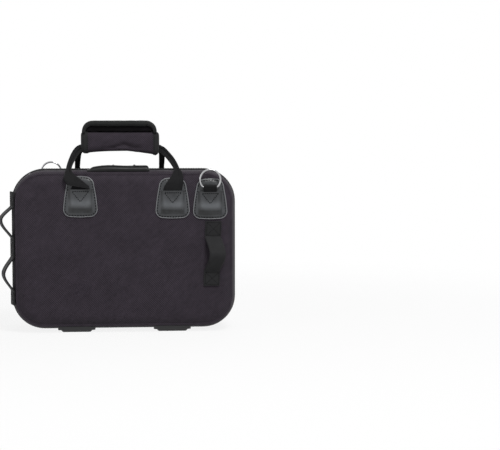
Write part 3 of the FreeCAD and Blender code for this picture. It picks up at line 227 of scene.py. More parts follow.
def webbing_weave(name, dark, light, rib=1.9, lane=3.4, specular=0.25):
    """Woven webbing: ribs across it that zigzag from lane to lane, laid along its own flat coordinates."""
    web = surface(name, 0.72, specular, sheen=0.04)
    u, v, _ = web.split(web.node("UVMap").outputs[0])
    lanes = web.math("ABSOLUTE", web.math("SUBTRACT", web.math("FRACT", web.math("DIVIDE", u, lane)), 0.5))
    ribs = web.wave(web.weigh((v, 1.0), (lanes, rib * 1.2)), rib)
    height = web.weigh((ribs, 0.7), (web.wave(u, lane / 2), 0.3))
    share = web.weigh((height, 0.32), (web.noise(web.place(), 0.09), 1.0))
    return web.finish(dark, light, web.span(share, 0.15, 0.95), height, 0.00018, 0.8)


def grained_leather(name, dark, light, roughness, specular):
    """Smooth leather with a fine pebble grain, lighter and darker where each piece stores its painted highlight and
    painted shade.
    """
    web = surface(name, roughness, specular, coat=0.12)
    place = web.place()
    pebble = web.node("TexVoronoi", {"Vector": place, "Scale": 0.9}).outputs["Distance"]
    fine, cloud = web.noise(place, 0.5, 5.0), web.noise(place, 0.05)
    # painted highlight and painted shade, stored per point by the leather pieces
    painted_light = web.node("Attribute", attribute_name="painted_light").outputs["Fac"]
    mottle = web.span(web.weigh((cloud, 0.8), (fine, 0.3)), 0.25, 0.8, 0.0, 0.26)
    web.put(web.shader.inputs["Roughness"], web.span(fine, 0.2, 0.9, roughness - 0.07, roughness + 0.1))
    return web.finish(dark, light, web.weigh((mottle, 1.0), (painted_light, 0.8), clamp=True),
                      web.weigh((pebble, 0.5), (fine, 0.5)), 0.0001, 0.5)


def plain_surface(name, colour, roughness, specular=0.5, metallic=0.0, speckle=0.12, scale=0.4, depth=0.00004):
    """Thread, moulded plastic, enamel or chrome: an even colour with a fine grain in tone and gloss."""
    web = surface(name, roughness, specular, metallic)
    grain = web.noise(web.place(), scale, 4.0)
    web.put(web.shader.inputs["Roughness"], web.span(grain, 0.2, 0.8, roughness * 0.85, roughness * 1.15))
    dark, light = ([c * (1 + change) for c in colour] for change in (-speckle, speckle))
    return web.finish(dark, light, grain, grain, depth, 0.4)


def short_plush(name, dark, light):
    web = surface(name, 0.95, 0.15, sheen=0.5)
    pile, nap = web.noise(web.place(), 1.1, 5.0, 0.7), web.noise(web.place(), 0.03)
    share = web.weigh((pile, 0.5), (nap, 0.6))
    return web.finish(dark, light, web.span(share, 0.3, 0.8), pile, 0.0006, 0.9)


NYLON, SHELL_NYLON = (ballistic_nylon(name, (0.0078, 0.0056, 0.0086), (0.0370, 0.0288, 0.0395), sheen=0.08)
                      for name in ("nylon", "shell_nylon"))
TRIM = ballistic_nylon("black_trim", (0.0070, 0.0070, 0.0075), (0.018, 0.0185, 0.019), 1.7, 0.00016)
ROLL_TRIM = ballistic_nylon("roll_trim", (0.0060, 0.0064, 0.0064), (0.0155, 0.0162, 0.0162), 1.7, 0.00016, 0.05)
BINDING = webbing_weave("binding_tape", (0.0065, 0.0065, 0.0070), (0.017, 0.017, 0.018), 1.4, 10.0)
ZIP_CLOTH = webbing_weave("zip_cloth", (0.008, 0.008, 0.009), (0.018, 0.018, 0.020), 1.2, 1.6)
TEETH = plain_surface("zip_teeth", (0.016, 0.016, 0.018), 0.6, 0.25)
WEBBING = webbing_weave("webbing", (0.0032, 0.0032, 0.0036), (0.0102, 0.0102, 0.0114))
STRAP_WEBBING = webbing_weave("strap_webbing", (0.0018, 0.0018, 0.0021), (0.0072, 0.0072, 0.0080), specular=0.14)
# A darker copy of the webbing: painted shade for the webbing that goes into the tabs' mouths.
SHADED_WEBBING = webbing_weave("webbing_inner", (0.0015, 0.0015, 0.0018), (0.005, 0.005, 0.006), specular=0.1)
# A near-black sheet: painted shade in the recess under the flap's crest.
RECESS_SHADE = webbing_weave("flap_recess_shade", (0.0010, 0.0008, 0.0011), (0.0045, 0.0036, 0.0050), 1.0, 1.0, 0.05)
# The leather's two tones are the ends of its painted shade and its painted highlight.
LEATHER = grained_leather("leather", (0.0045, 0.0047, 0.0050), (0.088, 0.093, 0.100), 0.33, 0.27)
PATCH_LEATHER = grained_leather("patch_leather", (0.0030, 0.0031, 0.0033), (0.0200, 0.0205, 0.0210), 0.42, 0.18)
# Edge paint lighter than the leather, which partly stands for a painted highlight along the rounded cut edge.
LEATHER_EDGE = plain_surface("leather_edge", (0.165, 0.17, 0.178), 0.45)
BINDING_CORD = plain_surface("piping_cord", (0.015, 0.015, 0.016), 0.6, scale=0.8, depth=0.0001)
THREAD = plain_surface("thread", (0.0016, 0.0016, 0.0018), 0.7, 0.06, scale=1.5)
PLUSH = short_plush("plush", (0.012, 0.012, 0.014), (0.030, 0.029, 0.034))
MOULDED = plain_surface("moulded_feet", (0.008, 0.008, 0.009), 0.35)
CHROME = plain_surface("chrome", (0.42, 0.42, 0.43), 0.10, metallic=1.0, speckle=0.03)
GUNMETAL = plain_surface("gunmetal", (0.09, 0.09, 0.095), 0.3, metallic=0.85)


# Mesh building

@contextmanager
def editing(mesh):
    """A mesh's points and faces to work on, written back at the end."""
    work = bmesh.new()
    work.from_mesh(mesh)
    yield work
    work.to_mesh(mesh)
    work.free()


def cut(work, point, normal):
    """Cuts away what lies beyond a plane."""
    bmesh.ops.bisect_plane(work, geom=work.verts[:] + work.edges[:] + work.faces[:], plane_co=row(point),
                           plane_no=Vector(normal), clear_outer=True)


def placed(name, mesh, material, body, slot, stands_for=()):
    """Puts a mesh in the scene in one material, riding on a body and standing for CAD nodes."""
    mesh.materials.clear()
    mesh.materials.append(material)
    made = bpy.data.objects.new(name, mesh)
    bpy.context.scene.collection.objects.link(made)
    if body:
        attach(made, body)
    if stands_for:
        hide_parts(*stands_for)
    return made


def piece(name, points, faces, material, body, slot, stands_for=(), laid=None):
    """A piece from points of the case's frame, with their flat coordinates where it is woven."""
    mesh = bpy.data.meshes.new(name)
    mesh.from_pydata([row(p) for p in points], [], faces)
    if laid:
        layer = mesh.uv_layers.new(name="laid")
        for loop in mesh.loops:
            layer.data[loop.index].uv = laid[loop.vertex_index]
    with editing(mesh) as work:
        bmesh.ops.recalc_face_normals(work, faces=work.faces)
    mesh.shade_smooth()
    mesh.set_sharp_from_angle(angle=math.radians(50))
    return placed(name, mesh, material, body, slot, stands_for)


def store(made, values):
    """Keeps each point's painted highlight and painted shade on a leather piece, for its material to read."""
    layer = made.data.attributes.new("painted_light", "FLOAT", "POINT")
    for i, value in enumerate(values):
        layer.data[i].value = value


def strip_faces(rings, around, closed=True, start=0):
    """Quads between rings of the same count of points."""
    return [(a + j, a + (j + 1) % around, a + around + (j + 1) % around, a + around + j)
            for a in (start + i * around for i in range(rings - 1))
            for j in range(around if closed else around - 1)]


def rings_mesh(rings, closed=True, caps=(), start=0):
    """Points and faces of a skin over rings, with caps on the first (0) or the last (-1) of them."""
    count = len(rings[0])
    faces = strip_faces(len(rings), count, closed, start)
    for cap in caps:
        first = start + cap % len(rings) * count
        faces.append(tuple(range(first, first + count)))
    return [p for ring in rings for p in ring], faces


def bars_mesh(bars):
    """Points and faces of many short closed bars, each a list of rings."""
    points, faces = [], []
    for rings in bars:
        more, closing = rings_mesh(rings, caps=ENDS, start=len(points))
        points += more
        faces += closing
    return points, faces


def circle(first, second, sides):
    return [first * math.cos(2 * math.pi * j / sides) + second * math.sin(2 * math.pi * j / sides)
            for j in range(sides)]


def tube(name, path, radius, material, body, slot, closed=False, stands_for=(), sides=8):
    """A round cord through the points of a path; its radius is a number or a curve of numbers."""
    line = [Vector(p) for p in path]
    count = len(line)
    rings, first = [], None
    for i, p in enumerate(line):
        ahead = line[(i + 1) % count] if closed or i < count - 1 else p
        behind = line[i - 1] if closed or i > 0 else p
        along = (ahead - behind).normalized()
        if first is None:
            first = along.orthogonal().normalized()
        first = (first - along * first.dot(along)).normalized()
        thick = between(radius, i / (count - 1)) if isinstance(radius, tuple) else radius
        rings.append([p + way * thick for way in circle(first, along.cross(first), sides)])
    points, faces = rings_mesh(rings, caps=() if closed else ENDS)
    if closed:
        twist = min(range(sides), key=lambda k: (rings[-1][0] - rings[0][k]).length)
        last = (count - 1) * sides
        faces += [(last + j, last + (j + 1) % sides, (j + 1 + twist) % sides, (j + twist) % sides)
                  for j in range(sides)]
    return piece(name, points, faces, material, body, slot, stands_for)


def stitched_line(points, pitch=4.2, length=2.9, closed=False):
    """Stitches spaced evenly along a line of points, each a middle, a direction and a length."""
    line = [Vector(p) for p in points]
    if closed:
        line.append(line[0])
    runs, at = [], pitch / 2
    for a, b in zip(line, line[1:]):
        span = (b - a).length
        while at < span:
            runs.append((a.lerp(b, at / span), b - a, length))
            at += pitch
        at -= span
    return runs


def stitches(name, runs, body, slot, radius=0.34):
    """Small thread stitches that taper at their ends."""
    bars = []
    for middle, along, length in runs:
        along = along.normalized()
        first = along.orthogonal().normalized()
        ways = circle(first, along.cross(first), 6)
        bars.append([[middle + along * (length * t) + way * radius * grow for way in ways]
                     for t, grow in ((-0.5, 0.35), (-0.3, 1.0), (0.3, 1.0), (0.5, 0.35))])
    return piece(name, *bars_mesh(bars), THREAD, body, slot)


# The case's surface

def outline(half_width, half_height, radius, middle, y, per_corner=10, along=18, up=12):
    """A rounded rectangle at a depth, from the bottom right corner round."""
    radius = max(radius, 0.5)
    centres = [(sx * (half_width - radius), middle + sz * (half_height - radius))
               for sx, sz in ((1, -1), (1, 1), (-1, 1), (-1, -1))]
    made = []
    for i, (cx, cz) in enumerate(centres):
        for k in range(per_corner + 1):
            angle = math.radians(90 * (i - 1) + 90 * k / per_corner)
            out_x, out_z = radius * math.cos(angle), radius * math.sin(angle)
            made.append((cx + out_x, y, cz + out_z))
        (next_x, next_z), runs = centres[(i + 1) % 4], along if i % 2 else up
        made += [(mix(cx, next_x, k / runs) + out_x, y, mix(cz, next_z, k / runs) + out_z)
                 for k in range(1, runs)]
    return made


def case_ring(inset, y, **counts):
    return outline(HALF_WIDTH - inset, HALF_HEIGHT - inset, CASE_CORNER - inset, MIDDLE, y, **counts)


def from_wall(x, z, half_width, half_height, corner, middle):
    """How far a place lies in from a rounded rectangle's outline, and the way out to it."""
    qx, qz = abs(x) - (half_width - corner), abs(z - middle) - (half_height - corner)
    sx, sz = (1 if x > 0 else -1), (1 if z > middle else -1)
    if qx > 0 and qz > 0:
        far = math.hypot(qx, qz)
        return corner - far, Vector((sx * qx / far, 0, sz * qz / far))
    return (corner - qx, Vector((sx, 0, 0))) if qx > qz else (corner - qz, Vector((0, 0, sz)))


def on_case(side, x, z, out):
    """The point at (x, z) on the back or front of the case, raised off it."""
    inset, way = from_wall(x, z, *CASE)
    edge = EDGE[side]
    rise = min(max((edge - inset) / edge, 0.0), 0.999)
    flat = math.sqrt(1 - rise * rise)
    return (Vector((x, side * (DEPTH[side] - edge + edge * flat), z))
            + (way * rise + Vector((0, side * flat, 0))) * out)


def shell_cover(side, name, body):
    """The nylon-covered half: inside wall, rim, side wall, rounded edge and flat face."""
    depth, edge, bevel = DEPTH[side], EDGE[side], 0.8
    profile = [(WALL, depth - WALL), (WALL, RIM_SETBACK + bevel), (WALL - bevel, RIM_SETBACK),
               (bevel, RIM_SETBACK), (0.0, RIM_SETBACK + bevel)]
    profile += [(0.0, mix(RIM_SETBACK, depth - edge, k / 4)) for k in range(1, 5)]
    for k in range(1, 11):
        angle = math.pi / 2 * k / 10
        profile.append((edge * (1 - math.cos(angle)), depth - edge + edge * math.sin(angle)))
    profile += [(inset, depth) for inset in (edge + 6, 40.0, 60.0, 90.0, 115.0, 126.0)]
    rings = [case_ring(inset, side * y) for inset, y in profile]
    piece(name + "_cover", *rings_mesh(rings, caps=ENDS), SHELL_NYLON, body, "shell_nylon", (name + "_shell",))


for half in HALVES:
    shell_cover(*half)


# Tapes, zip and hinge

def band(name, rings, closed, material, body, slot, node, gap=False):
    """A woven band through the rings of its profile; with a gap it leaves out the hinge."""
    rings = rings + rings[:1]
    laid = []
    for i, ring in enumerate(rings):
        run = 0.0
        for before, p in zip(ring[:1] + ring, ring):
            run += math.dist(before, p)
            laid.append((i * 2.0, run))
    points, faces = rings_mesh(rings, closed)
    if gap:
        faces = [f for f in faces
                 if not all(abs(points[v][0]) <= STRAIGHT + 0.01 and points[v][2] < MIDDLE for v in f)]
    piece(name, points, faces, material, body, slot, (node,), laid)


def zip_half(name, side, body, middle, coil_near, tape_far, form, ring_at, path_at, closed):
    """One side of a zip: a tape whose own edge runs under the coil, and the coil's teeth across it."""
    near, far = middle + side * COIL_FAR, middle + side * tape_far
    # the edges of the two tapes pass each other at the parting
    base, past = (ZIP_UNDER, 0.4) if side == BACK else (0.6, 0.15)
    edge, upper = middle + past, base + 0.22
    profile = [(base, edge), (upper, edge), (upper, near), (ZIP_FACE, near), (ZIP_FACE, far),
               (ZIP_UNDER, far), (ZIP_UNDER, near), (base, near)]
    band(name + "_zip_band", [ring_at(offset, y) for offset, y in profile], closed, ZIP_CLOTH, body, "zip_tape",
         name + "_zip_tape", gap=closed)
    section = [(-0.45, 0.0), (-0.5, 0.8), (-0.25, 1.25), (0.25, 1.25), (0.5, 0.8), (0.45, 0.0)]
    reach, bars = COIL_FAR - coil_near, []
    for base, along, _ in stitched_line(path_at(COIL_BASE, middle + side * coil_near), TOOTH_PITCH):
        along = along.normalized()
        out = from_wall(base.x, base.z, *form)[1]
        base = base + along * (TOOTH_PITCH / 4 * side)
        bars.append([[base + Vector((0, side * reach * end, 0)) + along * (a * 0.9 * grow) + out * (b * grow)
                      for a, b in section] for end, grow in ((0.0, 0.6), (0.12, 1.0), (0.85, 1.0), (1.0, 0.6))])
    piece(name + "_zip_teeth", *bars_mesh(bars), TEETH, body, "zip_coil", (name + "_zip_coil",))


def zip_path(offset, y):
    """The line of the zip from one end of the hinge, up and round to the other."""
    return [p for p in case_ring(-offset, y, per_corner=24, along=2, up=2)
            if not (abs(p[0]) < STRAIGHT - 0.01 and p[2] < MIDDLE)]


def edge_tape(side, name, body):
    """The woven binding round the case's edge, with a row of stitches near each side."""
    bevel, stitch_in, sunk = 0.8, 1.9, 0.25
    profile = [(SKIN, TAPE_NEAR), (TAPE_RISE * 0.7, TAPE_NEAR), (TAPE_RISE, TAPE_NEAR + bevel),
               (TAPE_RISE - sunk, TAPE_NEAR + stitch_in), (TAPE_RISE + 0.1, (TAPE_NEAR + TAPE_FAR) / 2),
               (TAPE_RISE - sunk, TAPE_FAR - stitch_in), (TAPE_RISE, TAPE_FAR - bevel),
               (TAPE_RISE * 0.7, TAPE_FAR), (SKIN, TAPE_FAR)]
    band(name + "_edge_tape", [case_ring(-offset, side * y) for offset, y in profile], True, BINDING, body,
         "binding", name + "_binding")
    seam = []
    for y in (TAPE_NEAR + stitch_in, TAPE_FAR - stitch_in):
        seam += stitched_line(case_ring(0.1 - TAPE_RISE, side * y, per_corner=16, along=2, up=2), closed=True)
    stitches(name + "_tape_stitches", seam, body, "binding")


for side, name, body in HALVES:
    edge_tape(side, name, body)
    zip_half(name, side, body, 0.0, COIL_NEAR, TAPE_NEAR, CASE, lambda offset, y: case_ring(-offset, y),
             zip_path, True)


def hinge_cloth():
    """One strip of nylon across the hinge, a little loose between its seams."""
    steps, across, thick = 60, 12, 1.0
    rings, laid = [], []
    for i in range(steps + 1):
        x = mix(-STRAIGHT, STRAIGHT, i / steps)
        ring = []
        for layer in (0, 1):
            for j in range(across + 1):
                share = 1 - j / across if layer else j / across
                y = mix(-TAPE_NEAR, TAPE_NEAR, share)
                slack = 0.35 * math.sin(math.pi * share) * (1 + 0.5 * math.sin(x * 0.21))
                ring.append((x, y, BOTTOM - SKIN - slack - thick * layer))
                laid.append((y, x))
        rings.append(ring)
    made = piece("hinge_cloth", *rings_mesh(rings, caps=ENDS), NYLON, None, "nylon",
                 ("back_hinge_strip", "front_hinge_strip"), laid)
    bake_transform(made)


hinge_cloth()


# Leather tabs

TAB_TOP_WIDTH, TAB_BOTTOM_WIDTH = 43.0, 53.6
TAB_BELOW, TAB_ABOVE = 43.5, 19.0
LEATHER_FACE = 1.8
SWELL_RISE, SWELL_HALF, SWELL_LENGTH = 4.0, 19.5, 38.0
MOUTH_HALF = 16.0
CORNER_STEPS = 8


def tab_outline(slot_x, slot_z, narrowing, above, inset):
    """The tab's outline drawn in by an inset, with rounded corners and slightly full sides."""
    low, top = (((width - narrowing) / 2 - inset, max(radius - inset, 1.0))
                for width, radius in ((TAB_BOTTOM_WIDTH, 11.5), (TAB_TOP_WIDTH, 13.0)))
    bottom_z, top_z = slot_z - TAB_BELOW + inset, slot_z + above - inset
    centres = [(slot_x + sx * (half - radius), z + sz * radius, radius) for sx, sz, z, (half, radius) in
               ((1, 1, bottom_z, low), (1, -1, top_z, top), (-1, -1, top_z, top), (-1, 1, bottom_z, low))]
    made = []
    for i, (cx, cz, radius) in enumerate(centres):
        for k in range(CORNER_STEPS + 1):
            angle = math.radians(90 * (i - 1) + 90 * k / CORNER_STEPS)
            way_x, way_z = math.cos(angle), math.sin(angle)
            made.append((cx + radius * way_x, cz + radius * way_z))
        (x, z), (next_x, next_z, radius) = made[-1], centres[(i + 1) % 4]
        for k in range(1, CORNER_STEPS):
            bulge = 0.7 * math.sin(math.pi * k / CORNER_STEPS)
            made.append((mix(x, next_x + radius * way_x, k / CORNER_STEPS) + way_x * bulge,
                         mix(z, next_z + radius * way_z, k / CORNER_STEPS) + way_z * bulge))
    return made


def swell_height(slot_z, x, z, half):
    """How far the leather stands up over the webbing sewn under it."""
    down = (slot_z - z) / SWELL_LENGTH
    across = 1 - smooth(half * (0.80 - 0.22 * down), half, abs(x))
    along = 1 - smooth(0.66, 1.0, down)
    belly = 0.82 + 0.30 * smooth(0.0, 0.6, down) * math.cos(min(abs(x) / half, 1) * math.pi / 2)
    return SWELL_RISE * across * along * belly


def leather_tab(side, name, body, node, slot_x, slot_z, narrowing=0.0, above=TAB_ABOVE):
    """A sewn tab: its base, the swell over the webbing, its stitches and its painted cut edge, whose light colour is
    partly a painted highlight along that edge.
    """
    def drawn_in(inset):
        return tab_outline(slot_x, slot_z, narrowing, above, inset)

    def edge(inset, out):
        return [on_case(side, x, z, out) for x, z in drawn_in(inset)]

    rings = [edge(inset, out) for inset, out in
             ((0.35, SKIN), (0.0, 0.7), (0.25, 1.45), (0.8, LEATHER_FACE), (1.6, LEATHER_FACE),
              (2.3, LEATHER_FACE - 0.22), (3.0, LEATHER_FACE))]
    low, high = slot_z - TAB_BELOW, slot_z + above
    centre = (low + high) / 2
    for share in (0.85, 0.68, 0.5, 0.32, 0.14):
        rings.append([on_case(side, mix(slot_x, x, share), mix(centre, z, 0.80 + 0.20 * share), LEATHER_FACE)
                      for x, z in drawn_in(3.0)])
    points, faces = rings_mesh(rings, caps=(0,))
    # the middle is closed across, from the foot's midpoint up both sides
    around = len(rings[0])
    last, foot = len(points) - around, around - CORNER_STEPS // 2
    right, left = ([last + (foot + way * k) % around for k in range(around // 2 + 1)] for way in (1, -1))
    faces += [tuple(dict.fromkeys(corners)) for corners in zip(right, right[1:], left[1:], left)]
    made = piece(name + "_base", points, faces, LEATHER, body, "leather", (node,))
    # painted shade on the base: darker towards its bottom, a little darker above the slot, and darker on its outer
    # edge rings
    store(made, [(0.14 + 0.26 * smooth(low + 2, low + 14, p[2]) * (1 - 0.5 * smooth(slot_z, high, p[2])))
                 * (1.0 if 1 < i // around else 0.4) for i, p in enumerate(points)])

    half, lift, lip_thick = SWELL_HALF - narrowing / 2, 0.03, 1.3
    columns, rows = 26, 22
    xs = [mix(-half, half, j / columns) for j in range(columns + 1)]

    def raised(x, z, out):
        return on_case(side, slot_x + x, z, LEATHER_FACE + out + swell_height(slot_z, x, z, half))

    # the swell is open at its top, where a lip turns in over the webbing
    lip = [[on_case(side, slot_x + x, slot_z - drop,
                    LEATHER_FACE + max(swell_height(slot_z, x, slot_z, half) - lip_thick, 0.02)) for x in xs]
           for drop in (7.0, 0.0)]
    sheet = [[raised(x, slot_z - SWELL_LENGTH * i / rows, lift) for x in xs] for i in range(rows + 1)]
    points, faces = rings_mesh(lip + sheet, closed=False)
    made = piece(name + "_swell", points, faces, LEATHER, body, "leather")
    # painted light on the swell: a painted highlight on its belly and flanks, a painted shadow under it and painted
    # shade along its sides
    shares = []
    for i in range(len(points)):
        down = max(i // (columns + 1) - len(lip), 0) / rows
        sideways = abs(i % (columns + 1) / columns * 2 - 1)
        belly = bell(down - 0.60, 0.17) * (1 - 0.5 * smooth(0.45, 0.95, sideways))
        flank = bell(sideways - 0.66, 0.2) * (1 - smooth(0.55, 0.75, down)) * smooth(0.0, 0.3, down)
        under = smooth(0.74, 0.84, down) * (1 - smooth(0.78, 0.98, sideways))
        seam = bell(sideways - 0.93, 0.06)
        shares.append(max(0.20 + 0.76 * belly + 0.24 * flank - 0.34 * under - 0.20 * seam, 0.0))
    store(made, shares)

    # thread round the edge and in a triangle below the mouth
    runs = stitched_line(edge(2.3, LEATHER_FACE + 0.05), 4.4, closed=True)
    wide, steps = MOUTH_HALF - 3.0 - narrowing / 2, 10
    corners = [(-wide, slot_z - 3.4), (wide, slot_z - 3.4), (0.0, slot_z - 19.6), (-wide, slot_z - 3.4)]
    for (xa, za), (xb, zb) in zip(corners, corners[1:]):
        runs += stitched_line([raised(mix(xa, xb, k / steps), mix(za, zb, k / steps), 0.2)
                               for k in range(steps + 1)], 3.4, 2.3)
    stitches(name + "_stitches", runs, body, "leather", 0.62)
    # the rim's light colour is edge paint and partly a painted highlight
    tube(name + "_rim", edge(0.1, LEATHER_FACE - 0.35), 0.55, LEATHER_EDGE, body, "leather", closed=True)


# Each tab is sewn at its own node, the right-hand ones on the back a little lower, as the photograph shows.
TABS = {}
for node, side, body, lower, width_node, shape in (
        ("back_left_tab", BACK, "back_case", 0.0, "back_left_tab", ()),
        ("back_right_tab", BACK, "back_case", 2.5, "back_right_tab", ()),
        ("front_left_tab", FRONT, "lid", 0.0, "front_left_tab", ()),
        ("front_right_tab", FRONT, "lid", 0.0, "front_right_tab", ()),
        ("back_ring_tab", BACK, "back_case", 2.0, "back_ring_webbing", ()),
        ("front_ring_tab", FRONT, "lid", 0.0, "front_ring_webbing", (7.0, 13.0))):
    low, high = own_box(width_node)
    TABS[node] = (low.x + high.x) / 2, own_box(node)[0].z + TAB_BELOW - lower
    leather_tab(side, node.replace("_tab", "_leather"), body, node, *TABS[node], *shape)


# Handle straps

grip_low, grip_high = own_box("back_grip")
GRIP_LEFT, GRIP_RIGHT, GRIP_BOTTOM = grip_low.x, grip_high.x, grip_low.z
GRIP_TOPS = {BACK: grip_high.z, FRONT: own_box("front_grip")[1].z}
GRIP_PARTING = -2.0
WEBBING_WIDTH = 31.0
WEBBING_THICKNESS = 2.2

# Stations of the straps, traced from the photograph: x, y, z, width, thickness, fold, tilt and lean.
# Each strap fans out over its tab and folds up where it leaves the case.
LEGS = {
    "back_left": (
        (-71.7, -54.4, 235.2, 37.0, 2.0, 0.0, -0.17, -0.1), (-76.6, -53.4, 241.8, 35.5, 2.0, 0.0, -0.16, 0.05),
        (-81.6, -50.6, 248.2, 27.5, 2.2, 0.1, -0.1, 0.3), (-85.8, -46.2, 254.4, 16.5, 3.2, 0.5, -0.05, 0.7),
        (-87.5, -42.0, 259.6, 9.8, 4.2, 0.9, 0.0, 0.9), (-86.6, -35.0, 267.2, 9.0, 4.6, 1.0, -0.1, 0.9),
        (-82.9, -25.5, 277.3, 10.0, 4.6, 1.0, -0.35, 0.7), (-77.9, -16.5, 287.4, 11.0, 4.6, 1.0, -0.75, 0.4),
        (-71.0, -11.0, 294.6, 12.0, 4.6, 1.0, -1.6, 0.1), (-60.0, -9.6, 297.4, 12.4, 4.6, 1.0, -6.0, 0.0)),
    "back_right": (
        (77.6, -49.4, 229.2, 30.0, 2.0, 0.0, 0.0, 0.0), (79.2, -49.9, 236.0, 29.4, 2.0, 0.0, 0.05, 0.05),
        (82.2, -49.4, 245.0, 26.0, 2.2, 0.0, 0.15, 0.35), (85.1, -44.4, 254.6, 18.0, 3.0, 0.4, 0.2, 0.75),
        (84.9, -38.4, 261.8, 9.6, 4.2, 0.9, 0.3, 0.9), (82.0, -32.0, 268.6, 9.6, 4.6, 1.0, 0.5, 0.9),
        (76.4, -23.5, 277.6, 10.4, 4.6, 1.0, 0.65, 0.7), (68.9, -15.0, 286.6, 10.6, 4.6, 1.0, 0.9, 0.4),
        (61.0, -10.8, 293.4, 11.4, 4.6, 1.0, 1.8, 0.1), (48.0, -9.6, 296.4, 12.0, 4.6, 1.0, 6.0, 0.0)),
    "front_left": (
        (-67.0, 41.4, 231.6, 31.0, 2.2, 0.0, 0.0, 0.0), (-68.4, 41.7, 238.5, 30.0, 2.2, 0.0, 0.0, 0.05),
        (-71.5, 41.0, 247.5, 25.0, 2.4, 0.1, 0.0, 0.4), (-74.8, 37.4, 256.5, 14.0, 3.6, 0.7, 0.0, 0.8),
        (-75.7, 32.0, 263.0, 8.8, 4.4, 1.0, 0.0, 0.9), (-75.2, 24.5, 270.5, 9.0, 4.6, 1.0, -0.05, 0.9),
        (-74.4, 16.5, 280.0, 9.6, 4.6, 1.0, -0.1, 0.8), (-72.6, 10.0, 289.0, 10.4, 4.6, 1.0, -0.6, 0.4),
        (-67.5, 6.4, 295.4, 11.6, 4.6, 1.0, -1.8, 0.1), (-58.0, 5.6, 297.6, 12.0, 4.6, 1.0, -6.0, 0.0)),
    "front_right": (
        (66.0, 41.4, 231.6, 31.0, 2.2, 0.0, 0.0, 0.0), (65.6, 41.7, 238.5, 30.0, 2.2, 0.0, 0.0, 0.05),
        (64.4, 41.0, 247.5, 25.0, 2.4, 0.1, 0.0, 0.4), (62.9, 37.4, 256.5, 14.0, 3.6, 0.7, 0.0, 0.8),
        (62.1, 32.0, 263.0, 8.8, 4.4, 1.0, 0.0, 0.9), (62.2, 24.5, 270.5, 9.0, 4.6, 1.0, 0.0, 0.9),
        (62.3, 16.5, 280.0, 9.6, 4.6, 1.0, 0.1, 0.8), (61.8, 10.0, 288.6, 10.4, 4.6, 1.0, 0.5, 0.4),
        (58.0, 6.4, 294.8, 11.6, 4.6, 1.0, 1.8, 0.1), (48.0, 5.6, 297.4, 12.0, 4.6, 1.0, 6.0, 0.0))}


def folded_section(width, thickness, fold):
    """Webbing's section: flat, or folded over on itself so that its edges meet on the outer face."""
    made = []
    count, round_end, crease, crease_at, crease_width = 22, 0.1, 0.55, 0.18, 0.13
    for face in (-1, 1):
        for k in range(count):
            a = face * mix(-1, 1, k / (count - 1))
            end = max(abs(a) - (1 - round_end), 0.0) / round_end
            b = face * math.sqrt(max(1 - end * end, 0.02))
            if face == 1:
                b *= 1 - fold * crease * bell(a - crease_at, crease_width)
            made.append((width / 2 * a, thickness / 2 * b))
    return made


def webbing_run(name, stations, steps, material, body, stands_for):
    """Webbing through stations, each a middle, its ways across and out, a width, a thickness and a fold."""
    columns = list(zip(*stations))
    centres, acrosses, outs = ([Vector(v) for v in column] for column in columns[:3])
    rings, laid, run, before = [], [], 0.0, centres[0]
    for i in range(steps + 1):
        share = i / steps
        centre = between(centres, share)
        across = between(acrosses, share).normalized()
        out = between(outs, share)
        out = (out - across * out.dot(across)).normalized()
        wide, thick, fold = (between(column, share) for column in columns[3:])
        run += (centre - before).length
        before = centre
        section = folded_section(wide, thick, min(max(fold, 0.0), 1.0))
        rings.append([centre + across * a + out * b for a, b in section])
        laid += [(a * WEBBING_WIDTH / max(wide, 1.0) / (1 + fold), run) for a, _ in section]
    return piece(name, *rings_mesh(rings, caps=ENDS), material, body, "webbing", (stands_for,), laid)


for side, name, body in HALVES:
    handle, ends = name + "_handle", name + "_strap_ends"
    for end in ("left", "right"):
        leg = f"{name}_{end}"
        slot_x, slot_z = TABS[leg + "_tab"]
        traced = [((x, y, z), (1, 0, tilt), (0, side, lean), wide, thick, fold)
                  for x, y, z, wide, thick, fold, tilt, lean in LEGS[leg]]
        fanned = leg == "back_left"
        made = webbing_run(leg + "_leg", traced, 110, STRAP_WEBBING, None if fanned else handle, name + "_strap")
        if fanned:
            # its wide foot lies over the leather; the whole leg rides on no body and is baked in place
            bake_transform(made)
        level = side * (DEPTH[side] + LEATHER_FACE + 0.2 + WEBBING_THICKNESS / 2)
        stub = [((slot_x, level, slot_z + drop), (1, 0, 0), (0, side, 0), WEBBING_WIDTH, WEBBING_THICKNESS, 0.0)
                for drop in (-7.4, -4.0, -1.5, 0.4)]
        # the strap's end inside the tab's mouth is in the painted-shade webbing
        webbing_run(leg + "_strap_end", stub, 12, SHADED_WEBBING, body, ends)
# the webbing turning into the left tab's mouth, also in the painted-shade webbing
slot_x, slot_z = TABS["back_left_tab"]
under = [((slot_x + 0.2 * k, -DEPTH[BACK] - LEATHER_FACE - 1.5 - 0.14 * k, slot_z + 0.4 + 1.9 * k), (1, 0, 0),
          (0, -1, 0.03 * k), 30.0 - 1.6 * k, 1.9, 0.0) for k in range(4)]
webbing_run("back_left_under", under, 24, SHADED_WEBBING, "back_handle", "back_strap")


# D-rings' webbing

